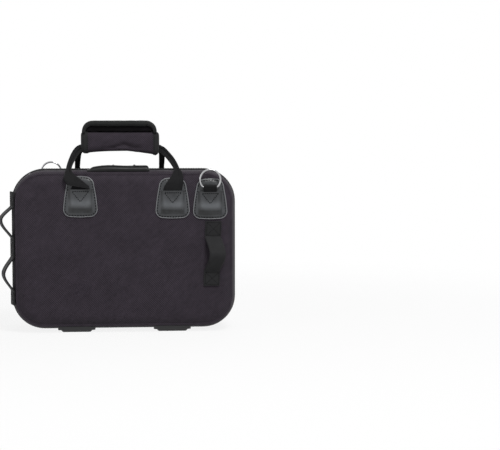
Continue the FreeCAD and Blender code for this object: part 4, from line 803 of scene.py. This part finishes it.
for side, name, body in HALVES:
    slot_x, slot_z = TABS[name + "_ring_tab"]
    bar_out, bar_up, width, turn, wrap = 7.0, 1.5, 21.5, 2.6, 0.72
    bar_y, bar_z = side * (DEPTH[side] + bar_out), own_box(name + "_ring")[0].z + bar_up
    near = side * (DEPTH[side] + LEATHER_FACE)
    line = [(near + side * 0.8, slot_z - 7.4, 1.0), (near + side * 0.8, slot_z - 2.0, 1.1),
            (near + side * 1.3, slot_z + 1.4, 1.5)]
    line += [(bar_y + side * turn * a, bar_z + turn * b, 1.9)
             for a, b in ((-1, 0), (-wrap, wrap), (0, 1), (wrap, wrap), (1, 0))]
    line += [(near + side * 4.6, slot_z + 1.6, 1.5), (near + side * 2.0, slot_z - 2.0, 1.1),
             (near + side * 2.0, slot_z - 7.4, 1.0)]
    stations = []
    for before, (y, z, thick), after in zip(line[:1] + line, line, line[1:] + line[-1:]):
        along = Vector((0, after[0] - before[0], after[1] - before[1])).normalized()
        stations.append(((slot_x, y, z), (1, 0, 0), Vector((1, 0, 0)).cross(along), width, thick, 0.0))
    webbing_run(name + "_ring_loop", stations, 70, STRAP_WEBBING, body, name + "_ring_webbing")


# Padded grip

def baked(made):
    """The mesh of a piece with its modifiers applied."""
    graph = bpy.context.evaluated_depsgraph_get()
    return bpy.data.meshes.new_from_object(made.evaluated_get(graph), depsgraph=graph)


def swell(made, pressure, limit, frames=20):
    """Blows a closed form up as cloth under pressure, with a cap on how far any point moves."""
    scene = bpy.context.scene
    modifier = made.modifiers.new("Cloth", "CLOTH")
    settings = modifier.settings
    settings.use_pressure = True
    settings.uniform_pressure_force = pressure
    settings.effector_weights.gravity = 0
    settings.tension_stiffness = settings.compression_stiffness = 12
    settings.bending_stiffness = 1.5
    for moment in range(1, frames + 1):
        scene.frame_set(moment)
    blown = baked(made)
    made.modifiers.remove(modifier)
    scene.frame_set(1)
    for vertex, target in zip(made.data.vertices, blown.vertices):
        step = target.co - vertex.co
        if step.length > limit * MM:
            step = step.normalized() * limit * MM
        vertex.co = vertex.co + step
    bpy.data.meshes.remove(blown)


def remeshed(made, voxel, rounds, material):
    """Gives a piece even faces, smoothed a little."""
    modifier = made.modifiers.new("Remesh", "REMESH")
    modifier.mode = "VOXEL"
    modifier.voxel_size = voxel * MM
    modifier.use_smooth_shade = True
    smoothing = made.modifiers.new("Smooth", "SMOOTH")
    smoothing.factor = 0.5
    smoothing.iterations = rounds
    mesh = baked(made)
    made.modifiers.clear()
    made.data = mesh
    mesh.shade_smooth()
    mesh.materials.clear()
    mesh.materials.append(material)
    return made


def reshape(made, move):
    """Moves each point of a piece as a function of its place in the case's frame says."""
    for vertex in made.data.vertices:
        vertex.co = row(move(own(vertex.co)))


def padded(made, levels=1):
    """Gives a padded piece a subdivision of the given levels, none when levels is 0."""
    if levels:
        modifier = made.modifiers.new("Subdivision", "SUBSURF")
        modifier.levels = modifier.render_levels = levels


def thicken(made, thick, way):
    layer = made.modifiers.new("Thickness", "SOLIDIFY")
    layer.thickness, layer.offset = thick * MM, way


def bound_end(source, name, point, normal, body):
    """Trim laid over the end of a padded piece, up to a plane."""
    lift, thick = 0.05, 0.75
    mesh = baked(source)
    with editing(mesh) as work:
        cut(work, point, normal)
        work.normal_update()
        for vertex in work.verts:
            vertex.co = vertex.co + vertex.normal * (lift * MM)
    mesh.shade_smooth()
    thicken(placed(name, mesh, TRIM, body, "binding"), thick, 1)


def surface_line(made, side, x, low, high):
    """Points just off the outer face of a piece at a place along it, found from outside."""
    shape = made.evaluated_get(bpy.context.evaluated_depsgraph_get())
    steps, far, off = 12, 120.0, 0.85
    hits = (shape.ray_cast(row((x, side * far, mix(low, high, k / steps))), Vector((0, -side, 0)))
            for k in range(steps + 1))
    return [own(place) + Vector((0, side * off, 0)) for hit, place, _, _ in hits if hit]


def grip_pad(side, name, top_corner):
    """One padded half of the grip: a soft block, arched along its bottom, blown up as cloth."""
    inset, thick, stations, turns = 1.3, 15.0, 48, 5
    back = side == BACK
    parting, outer = GRIP_PARTING + side * 0.4, GRIP_PARTING + side * (thick - inset)
    bottom, top = GRIP_BOTTOM + inset, GRIP_TOPS[side] - inset + (2.0 if back else 0.0)
    left, right = GRIP_LEFT + inset - (1.8 if back else 0.0), GRIP_RIGHT - inset
    middle, half = (left + right) / 2, (right - left) / 2
    slope = 2.5 if back else 0.0
    rings = []
    for i in range(stations + 1):
        t = mix(-1, 1, i / stations)
        t = math.copysign(1 - (1 - abs(t)) ** 1.35, t)
        x = middle + half * t
        room = half - abs(x - middle)
        trim_low, trim_top, trim_side = (
            radius - math.sqrt(max(radius ** 2 - (radius - min(room, radius)) ** 2, 0.0))
            for radius in (6.0, top_corner, 4.0))
        low, high = bottom + 3.8 * (1 - t * t) - 3.2 - 1.7 * t + trim_low, top - trim_top
        far = outer - side * trim_side
        ring = [(x, parting, low)]
        for radius, sign, z in ((9.0, 1, low), (4.5, -1, high)):
            for k in range(turns + 1)[::sign]:
                angle = math.pi / 2 * k / turns
                ring.append((x, far - side * radius * (1 - math.sin(angle)),
                             z + sign * radius * (1 - math.cos(angle))))
        rings.append(ring + [(x, parting, high - slope)])
    body = name + "_handle"
    made = piece(name + "_grip_pad", *rings_mesh(rings, caps=ENDS), NYLON, body, "nylon", (name + "_grip",))
    remeshed(made, 3.2, 2, NYLON)
    swell(made, 4.0, 2.2)

    def settle(place):
        """Flattens the side at the parting, and creases the outer face above the arch."""
        limit = GRIP_PARTING + side * 0.25
        if (place.y - limit) * side < 0:
            place.y = limit
        along = place.x - middle - 6.0
        crease = bell(place.z - GRIP_BOTTOM - 9.0 - 4.5 * bell(along, 11.0), 2.3) * bell(along, 22.0)
        if (place.y - parting) * side > 3:
            place.y += side * (0.5 * ripple(place.x * 0.05, place.z * 0.11, side * 3.0) - 6.4 * crease)
        return place

    reshape(made, settle)
    padded(made)
    binding_width, seams = 10.4, (2.6, 9.2)
    for end, sign, at in (("left", 1, GRIP_LEFT), ("right", -1, GRIP_RIGHT)):
        bound_end(made, f"{name}_grip_pad_{end}_binding", (at + sign * binding_width, 0, 0), (sign, 0, 0), body)
        seam = []
        for inset_x in seams:
            seam += stitched_line(surface_line(made, side, at + sign * inset_x, GRIP_BOTTOM + 5.0,
                                               GRIP_TOPS[side] - 8.0), 3.2, 2.2)
        stitches(f"{name}_grip_pad_{end}_stitches", seam, body, "binding", 0.3)


grip_pad(BACK, "back", 1.2)
grip_pad(FRONT, "front", 22.0)


# Flap over the grip

def soft_copy(name, node, voxel, rounds, material, body, slot):
    """A CAD node's form with its edges melted into soft rolls."""
    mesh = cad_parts[node].data.copy()
    with editing(mesh) as work:
        bmesh.ops.remove_doubles(work, verts=work.verts, dist=0.00001)
    return remeshed(placed(name, mesh, material, body, slot, (node,)), voxel, rounds, material)


flap_low, flap_high = own_box("grip_flap")
FLAP_MIDDLE, FLAP_SHIFT = (flap_low.y + flap_high.y) / 2, -2.0


def droop(place):
    """Draws the flap's back face in under its crest and lets its edge hang."""
    back, drop = place.y < FLAP_MIDDLE, flap_high.z - place.z
    place.z += 0.5 * ripple(place.x * 0.07, place.y * 0.06, 7.0) * (1 - smooth(4.0, 9.0, drop))
    if back:
        place.y += 3.6 * smooth(4.5, 7.0, drop)
        place.z -= 3.0 * smooth(7.0, 13.0, drop)
    place.x += FLAP_SHIFT
    return place


flap = soft_copy("grip_flap_cap", "grip_flap", 1.1, 4, TRIM, "grip_flap", "binding")
reshape(flap, droop)
# the faces of the recess under the crest on the back face get the near-black painted shade
flap.data.materials.append(RECESS_SHADE)
for face in flap.data.polygons:
    middle = own(sum((flap.data.vertices[v].co for v in face.vertices), Vector()) / len(face.vertices))
    if middle.y < flap_low.y + 7.5 and middle.z < flap_high.z - 5.0 and face.normal.y < -0.3:
        face.material_index = 1
padded(flap)


def flap_roll(name, y, foot):
    """The thick bound edge that follows the flap's crest and its rounded ends."""
    inset, radius, steps, seed = 3.0, 14.2, 40, math.copysign(1, y - FLAP_MIDDLE)
    left, right = flap_low.x + inset + FLAP_SHIFT, flap_high.x - inset + FLAP_SHIFT
    top = flap_high.z - 4.2
    shoulder = top - radius

    def corner(centre, first):
        angles = [(k, math.radians(first - 90 * k / 12)) for k in range(13)]
        return [(centre + radius * math.cos(angle), y,
                 shoulder + radius * math.sin(angle) + 0.14 * math.sin(k * 0.9 + first)) for k, angle in angles]

    crest = [(x, y + 0.3 * ripple(x * 0.06, 1, seed), top + 0.5 * ripple(x * 0.05, 4, seed))
             for x in (mix(left + radius, right - radius, k / steps) for k in range(1, steps))]
    path = ([(left, y, mix(foot, shoulder, k / 5)) for k in range(5)] + corner(left + radius, 180) + crest
            + corner(right - radius, 90) + [(right, y, mix(shoulder, foot, k / 5)) for k in range(1, 6)])
    made = tube(name, path, (2.6, 3.3, 4.3, 4.4, 4.4, 4.4, 4.3, 3.3, 2.6), ROLL_TRIM, "grip_flap", "binding",
                sides=14)
    padded(made, 0)


flap_roll("flap_back_roll", flap_low.y + 2.6, flap_low.z - 4.4)
flap_roll("flap_front_roll", flap_high.y - 3.4, flap_low.z)


# Webbing strips with loops

STRIP_BASE = SKIN + WEBBING_THICKNESS / 2


def loop_out(z, top, bottom, reach, peak=0.5):
    """How far a loop stands out at a height, with its peak at a share of the way down."""
    t = (top - z) / (top - bottom)
    if t <= 0 or t >= 1:
        return 0.0
    away = 1 - t / peak if t < peak else (t - peak) / (1 - peak)
    soft = 0.55
    return reach * ((math.hypot(1, soft) - math.hypot(away, soft)) / (math.hypot(1, soft) - soft)) ** 1.15


def looped_strip(node, place, out_at, width, patches, across):
    """A strip of webbing that stands out in loops between patches sewn round and across."""
    steps, margin = 150, 2.2
    heights = [mix(patches[0][0], patches[-1][1], k / steps) for k in range(steps + 1)]
    line = [place(out_at(z), 0.0, z) for z in heights]
    stations = []
    for before, here, after in zip(line[:1] + line, line, line[1:] + line[-1:]):
        stations.append((here, across, across.cross(after - before).normalized(), width, WEBBING_THICKNESS, 0.0))
    webbing_run(node + "_webbing", stations, steps, WEBBING, "back_case", node)
    runs, half = [], width / 2 - margin
    for high, low in patches:
        a, b, c, d = (place(WEBBING_THICKNESS / 2 + 0.05, x, z) for x, z in
                      ((-half, high - margin), (half, high - margin), (half, low + margin), (-half, low + margin)))
        for pair in ((a, b), (b, c), (c, d), (d, a), (a, c), (b, d)):
            runs += stitched_line(pair, 2.9, 2.0)
    stitches(node + "_webbing_stitches", runs, "back_case", "webbing", 0.4)


def back_place(out, across, z):
    """On the back, leaning and set a little low as in the photograph."""
    lean, lean_from, skew, lower = 0.032, 128.0, 0.4, 2.2
    return Vector((STRIP_X + across + out * skew + (z - lean_from) * lean, -DEPTH[BACK] - STRIP_BASE - out,
                   z - lower))


strip_low, strip_high = own_box("back_strip")
STRIP_X = (strip_low.x + strip_high.x) / 2
STRIP_REACH = -strip_low.y - DEPTH[BACK] - SKIN - WEBBING_THICKNESS
LOOP_TOP, LOOP_BOTTOM = strip_high.z - 25.2, strip_low.z + 23.8
looped_strip("back_strip", back_place, lambda z: loop_out(z, LOOP_TOP, LOOP_BOTTOM, STRIP_REACH),
             strip_high.x - strip_low.x, ((strip_high.z, LOOP_TOP), (LOOP_BOTTOM, strip_low.z)), Vector((1, 0, 0)))

SIDE_COS, SIDE_SIN = math.cos(math.radians(16)), math.sin(math.radians(16))
side_low, side_high = own_box("side_strip")
UPPER_TOP, LOWER_BOTTOM = side_high.z - 23.7, side_low.z + 22.9
UPPER_BOTTOM = UPPER_TOP - 50.7
LOWER_TOP = UPPER_BOTTOM - 30.3


def side_place(out, across, z):
    """On the rounded edge between the back and the left side."""
    reach = EDGE[BACK] + STRIP_BASE + out
    return Vector((-HALF_WIDTH + EDGE[BACK] - reach * SIDE_COS + across * SIDE_SIN,
                   -DEPTH[BACK] + EDGE[BACK] - reach * SIDE_SIN - across * SIDE_COS, z))


looped_strip("side_strip", side_place,
             lambda z: loop_out(z, UPPER_TOP, UPPER_BOTTOM, 18.6, 0.42) + loop_out(z, LOWER_TOP, LOWER_BOTTOM, 14.8),
             22.0, ((side_high.z, UPPER_TOP), (UPPER_BOTTOM, LOWER_TOP), (LOWER_BOTTOM, side_low.z)),
             Vector((SIDE_SIN, -SIDE_COS, 0)))


# Padded patch on the top

def top_place(x, y, out):
    """A point over the top wall or the rounded back edge."""
    back_flat = EDGE[BACK] - DEPTH[BACK]
    if y > back_flat:
        return Vector((x, y, TOP + out))
    rise = min((back_flat - y) / EDGE[BACK], 0.999)
    normal = Vector((0, -rise, math.sqrt(1 - rise * rise)))
    return Vector((x, back_flat, TOP - EDGE[BACK])) + normal * (EDGE[BACK] + out)


def top_pad():
    """The patch's crown follows its outline in the photograph."""
    heights = (3.2, 5.0, 6.4, 7.4, 7.9, 7.9, 7.5, 7.2, 7.1, 7.1, 7.2, 7.2, 7.2)
    low, high = own_box("top_patch")
    left, right, near = low.x - 5.0, high.x + 0.8, -34.0
    rows, columns = 18, 60
    rings = []
    for i in range(columns + 1):
        x = mix(left, right, i / columns)
        ends = min(smooth(0.0, 10.0, x - left), smooth(0.0, 2.6, right - x))
        rise = between(heights, i / columns) - 0.6
        up, down = [], []
        for j in range(rows + 1):
            y = mix(near, high.y, j / rows)
            crown = ends * max(math.sin(math.pi * j / rows), 0.0) ** 0.42
            up.append(top_place(x, y, SKIN + 1.0 + (rise + 0.25 * ripple(x * 0.09, y * 0.15, 2.0)) * crown))
            down.append(top_place(x, y, SKIN))
        rings.append(up + down[::-1])
    padded(piece("top_patch_pad", *rings_mesh(rings, caps=ENDS), PATCH_LEATHER, "back_case", "leather",
                 ("top_patch",)))


top_pad()


# Instrument tray and lid lining

tray = soft_copy("tray_plush", "instrument_tray", 2.4, 3, PLUSH, "back_case", "plush")
reshape(tray, lambda place: place + Vector((0, 0.35 * ripple(place.x * 0.03, place.z * 0.03, 5.0), 0)))
padded(tray, 0)


def lining():
    """Plush inside the lid, as two layers that meet along the open mouth."""
    outer_gap, thick, depth = WALL + SKIN + 0.1, 1.8, DEPTH[FRONT]
    layers = []
    for inset, edge in ((outer_gap, EDGE[FRONT] - outer_gap), (outer_gap + thick, EDGE[FRONT] - outer_gap - thick)):
        layer = [case_ring(inset, y) for y in (8.0, 11.0, 15.0, 20.0, depth - inset - edge)]
        for k in range(1, 7):
            angle = math.pi / 2 * k / 6
            layer.append(case_ring(inset + edge * (1 - math.cos(angle)),
                                   depth - inset - edge + edge * math.sin(angle)))
        for more in (30.0, 55.0, 80.0, 105.0, 124.0):
            layer.append([(x, y + 0.3 * ripple(x * 0.04, z * 0.04, 1.0), z)
                          for x, y, z in case_ring(inset + more, depth - inset)])
        layers.append(layer)
    points, faces = rings_mesh(layers[0][::-1] + layers[1], caps=ENDS)
    piece("lid_plush", points, faces, PLUSH, "lid", "plush", ("lid_lining",))


lining()


# Front pocket

POCKET_CORNER = 40.0
POCKET_CROWN = 26.0
POCKET_COIL_NEAR, POCKET_FAR = 0.8, 8.6
POCKET_ZIP_SEAM = 7.2
POCKET_CLOTH = 3.0
pocket_low, pocket_high = own_box("pocket_body")
panel_low, panel_high = own_box("flap_panel")
POCKET_HALF = (pocket_high.x - pocket_low.x) / 2
POCKET_MIDDLE, POCKET_UP = (pocket_low.z + panel_high.z) / 2, (panel_high.z - pocket_low.z) / 2
POCKET = (POCKET_HALF, POCKET_UP, POCKET_CORNER, POCKET_MIDDLE)
POCKET_BACK, POCKET_SEAM, FOLD = pocket_low.y, panel_high.y - POCKET_CROWN, panel_low.z
POCKET_ZIP = POCKET_SEAM - 12.0
# how the crown draws in from the sides and the top, reaches forward and tightens its corners
CROWN = ((0.0, 0.075, 0.19, 0.36, 0.58, 0.80), (0.0, 0.085, 0.21, 0.39, 0.61, 0.82),
         (0.0, 0.24, 0.50, 0.76, 0.94, 1.0), (1.0, 0.95, 0.85, 0.70, 0.50, 0.26))


def pocket_ring(side_inset, top_inset, corner, y):
    return outline(POCKET_HALF - side_inset, POCKET_UP - top_inset, corner, POCKET_MIDDLE, y, 8, 26, 12)


def pocket_surface():
    """The outside of the pocket as one open sheet, from the case to the middle of its front."""
    rings = [pocket_ring(0, 0, POCKET_CORNER, y) for y in
             (POCKET_BACK + 0.1, POCKET_BACK + 6, POCKET_BACK + 13, POCKET_BACK + 20, POCKET_ZIP - 7.0,
              POCKET_ZIP - 3.5, POCKET_ZIP, POCKET_ZIP + 3.0, POCKET_ZIP + 6.0, POCKET_SEAM - 3.0)]
    for k in range(1, 19):
        sideways, upwards, reach, corner = (between(column, (k / 18) ** 1.15) for column in CROWN)
        reach = min(reach, 1.0)
        rings.append(pocket_ring(POCKET_HALF * sideways, POCKET_UP * upwards, POCKET_CORNER * corner,
                                 POCKET_SEAM + POCKET_CROWN * reach - 0.3 * (1 - reach)))
    rings += [[(x * scale, y, mix(POCKET_MIDDLE, z, scale)) for x, y, z in rings[-1]] for scale in (0.6, 0.3)]
    points, faces = rings_mesh(rings, caps=(-1,))
    moved = []
    for x, y, z in points:
        front = smooth(POCKET_SEAM, POCKET_SEAM + 14, y)
        wall = smooth(POCKET_BACK + 4, POCKET_BACK + 16, y) * (1 - smooth(POCKET_ZIP - 14, POCKET_ZIP - 8, y))
        soft = ripple(x * 0.018, z * 0.024, 4.0) + 0.5 * ripple(x * 0.05, z * 0.05, 9.0)
        inward = Vector((x, 0, z - POCKET_MIDDLE))
        inward = inward.normalized() if inward.length > 1 else Vector((0, 0, 0))
        sag = ripple(x * 0.03, y * 0.05, z * 0.03)
        moved.append(Vector((x, y - front * (0.9 + 1.1 * soft), z)) - inward * wall * (0.7 + 1.2 * sag))
    return moved, faces


def cut_sheet(name, keep, body, stands_for):
    """The part of the pocket's sheet that the planes keep, given its thickness inwards."""
    mesh = bpy.data.meshes.new(name)
    mesh.from_pydata([row(p) for p in sheet_points], [], sheet_faces)
    with editing(mesh) as work:
        bmesh.ops.recalc_face_normals(work, faces=work.faces)
        if max(work.faces, key=lambda f: f.calc_center_median().y).normal.y < 0:
            bmesh.ops.reverse_faces(work, faces=work.faces)
        for point, normal in keep:
            cut(work, point, normal)
    mesh.shade_smooth()
    thicken(placed(name, mesh, NYLON, body, "nylon", (stands_for,)), POCKET_CLOTH, -1)


sheet_points, sheet_faces = pocket_surface()
below, above = (0, 0, FOLD - 0.15), (0, 0, FOLD + 0.05)
cut_sheet("pocket_gusset", [((0, POCKET_ZIP - 7.0, 0), (0, 1, 0)), (below, (0, 0, -1))], "lid", "pocket_body")
cut_sheet("pocket_lower", [(below, (0, 0, 1))], "lid", "pocket_body")
cut_sheet("pocket_panel", [((0, POCKET_ZIP + 6.0, 0), (0, -1, 0)), (above, (0, 0, -1))], "pocket_flap",
          "flap_panel")
backing = [pocket_ring(inset, inset, corner, POCKET_BACK + y) for inset, corner, y in
           ((2.0, POCKET_CORNER - 2, 0.3), (0.8, POCKET_CORNER - 1, 0.1), (0.8, POCKET_CORNER - 1, 1.2),
            (8.0, POCKET_CORNER - 8, 1.3), (40.0, 2.0, 1.3), (70.0, 2.0, 1.3))]
piece("pocket_backing", *rings_mesh(backing, caps=ENDS), NYLON, "lid", "nylon", ("pocket_body",))


def pocket_fold():
    """The nylon left between panel and pocket at the fold, baked in place on no body."""
    form = bpy.data.meshes.new("pocket_form")
    form.from_pydata([row(p) for p in sheet_points], [], sheet_faces)
    with editing(form) as work:
        tree = BVHTree.FromBMesh(work)
    bpy.data.meshes.remove(form)
    rings, laid, steps, outer, inner = [], [], 80, 0.55, 0.4
    for i in range(steps + 1):
        angle = math.pi * i / steps
        away = Vector((-math.cos(angle), math.sin(angle) * 0.62, 0)).normalized()
        hits = [tree.ray_cast(row((0, POCKET_SEAM - 4.0, FOLD + rise)), away)[0]
                for rise in (-2.6, -1.3, 0.0, 1.3, 2.6)]
        if None in hits or min(own(hit).y for hit in hits) < POCKET_ZIP + 6.0:
            continue
        line = [own(hit) for hit in hits]
        rings.append([p + away * outer for p in line] + [p - away * inner for p in line[::-1]])
        laid += [(j, i * 4.0) for j in range(10)]
    made = piece("pocket_fold_strip", *rings_mesh(rings, caps=ENDS), BINDING, None, "binding", (), laid)
    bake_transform(made)


pocket_fold()


def pocket_path(offset, y, upper=True):
    """The pocket's outline above the fold, from right to left, or below it, from left to right."""
    ring = outline(POCKET_HALF + offset, POCKET_UP + offset, POCKET_CORNER + offset, POCKET_MIDDLE, y, 14, 14, 14)
    start = next(i for i, p in enumerate(ring) if p[2] >= FOLD and p[0] > 0)
    kept = [p for p in ring[start:] + ring[:start] if (p[2] >= FOLD) == upper]
    side, z = (POCKET_HALF + offset, FOLD + 0.1) if upper else (-POCKET_HALF - offset, FOLD - 0.4)
    return [(side, y, z)] + kept + [(-side, y, z)]


for name, body, node, upper in (("flap_cord", "pocket_flap", "flap_piping", True),
                                ("pocket_cord", "lid", "pocket_piping", False)):
    tube(name, pocket_path(1.0, POCKET_SEAM, upper), 1.9, BINDING_CORD, body, "binding", stands_for=(node,),
         sides=12)

for side, name, body in ((BACK, "pocket", "lid"), (FRONT, "flap", "pocket_flap")):
    zip_half(name, side, body, POCKET_ZIP, POCKET_COIL_NEAR, POCKET_FAR, POCKET, pocket_path, pocket_path, False)
    seam = stitched_line(pocket_path(ZIP_FACE, POCKET_ZIP + side * POCKET_ZIP_SEAM), 3.6, 2.5)
    stitches(name + "_zip_stitches", seam, body, "zip_tape", 0.3)


# Hardware carried over from the CAD model

for material, nodes in ((MOULDED, ("back_left_foot", "back_right_foot", "front_left_foot", "front_right_foot")),
                        (CHROME, ("back_ring", "front_ring")),
                        (GUNMETAL, ("left_slider", "right_slider", "pocket_slider", "left_pull", "right_pull",
                                    "pocket_pull"))):
    for node in nodes:
        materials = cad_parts[node].data.materials
        materials.clear()
        materials.append(material)


# Floor, light and camera

def white_floor():
    """A pale floor that keeps the object's shadow."""
    bpy.ops.mesh.primitive_grid_add(x_subdivisions=8, y_subdivisions=8, size=24, location=(0, 0, 0))
    floor = bpy.context.object
    floor.name = "floor"
    web = Web(bpy.data.materials.new("floor"))
    shader = web.tree.nodes["Principled BSDF"]
    shader.inputs["Base Color"].default_value = (0.72, 0.72, 0.72, 1)
    shader.inputs["Roughness"].default_value = 0.9
    shader.inputs["Specular IOR Level"].default_value = 0.1
    white = web.node("Emission", {"Strength": 1.0, "Color": (1, 1, 1, 1)}).outputs[0]
    path = web.node("LightPath").outputs
    far = web.node("VectorMath", (web.node("TexCoord").outputs["Object"],), operation="LENGTH").outputs["Value"]
    fade = web.span(far, 0.30, 1.3, 0.86, 1.0)
    # Metal reflects a white floor. The camera sees the white world through it, with the object's shadow on
    # it, and so sees an opened lid that hangs below its level, which the lamps reach as well.
    mirrored = web.math("MAXIMUM", path["Is Glossy Ray"], path["Is Transmission Ray"])
    passed = web.math("MAXIMUM", web.math("MULTIPLY", path["Is Camera Ray"], fade), path["Is Shadow Ray"])
    lit = web.node("MixShader", (web.math("MULTIPLY", mirrored, fade), shader.outputs[0], white)).outputs[0]
    clear = web.node("BsdfTransparent").outputs[0]
    both = web.node("MixShader", (passed, lit, clear)).outputs[0]
    web.put(web.tree.nodes["Material Output"].inputs["Surface"], both)
    floor.data.materials.append(web.owner)


def white_world():
    """Dim light from all round, seen as white by the camera, in metal and through glass."""
    world = bpy.context.scene.world = bpy.data.worlds.new("studio")
    web = Web(world)
    background = web.tree.nodes["Background"]
    background.inputs["Color"].default_value = (1, 1, 1, 1)
    path = web.node("LightPath").outputs
    seen = web.math("MAXIMUM", path["Is Camera Ray"], path["Is Transmission Ray"])
    seen = web.math("MAXIMUM", seen, path["Is Glossy Ray"])
    web.put(background.inputs["Strength"], web.span(seen, 0.0, 1.0, 0.30, 1.0))


def lamp(name, place, aim, size, power):
    light = bpy.data.lights.new(name, "AREA")
    light.shape = "RECTANGLE"
    light.size, light.size_y = size
    light.energy = power
    made = bpy.data.objects.new(name, light)
    made.location = place
    made.rotation_euler = (Vector(aim) - Vector(place)).to_track_quat("-Z", "Y").to_euler()
    bpy.context.scene.collection.objects.link(made)


def camera():
    """The photograph's view: its distance is estimated, and the lens gives its scale at the back face."""
    distance, height, pixel, sensor, frame_width = 2400.0, 340.0, 1.60, 36.0, 500
    pitch, yaw = math.radians(-3.98), math.radians(-4.81)
    lens = bpy.data.cameras.new("camera")
    lens.sensor_width = sensor
    lens.lens = distance / pixel / frame_width * sensor
    lens.clip_end = 100
    made = bpy.data.objects.new("camera", lens)
    made.location = row((0, -DEPTH[BACK] - distance, height))
    made.rotation_euler = (math.pi / 2 + pitch, 0.0, yaw)
    scene = bpy.context.scene
    scene.collection.objects.link(made)
    scene.camera = made
    scene.view_settings.view_transform = "Standard"


white_floor()
white_world()
lamp("key", (0.55, -1.45, 1.95), (0, 0, 0.14), (0.7, 0.7), 46)
lamp("fill", (-1.8, -1.6, 0.9), (0, 0, 0.14), (1.5, 1.2), 8)
lamp("rear", (0.5, 1.7, 2.0), (0, 0, 0.12), (1.5, 1.5), 14)
camera()
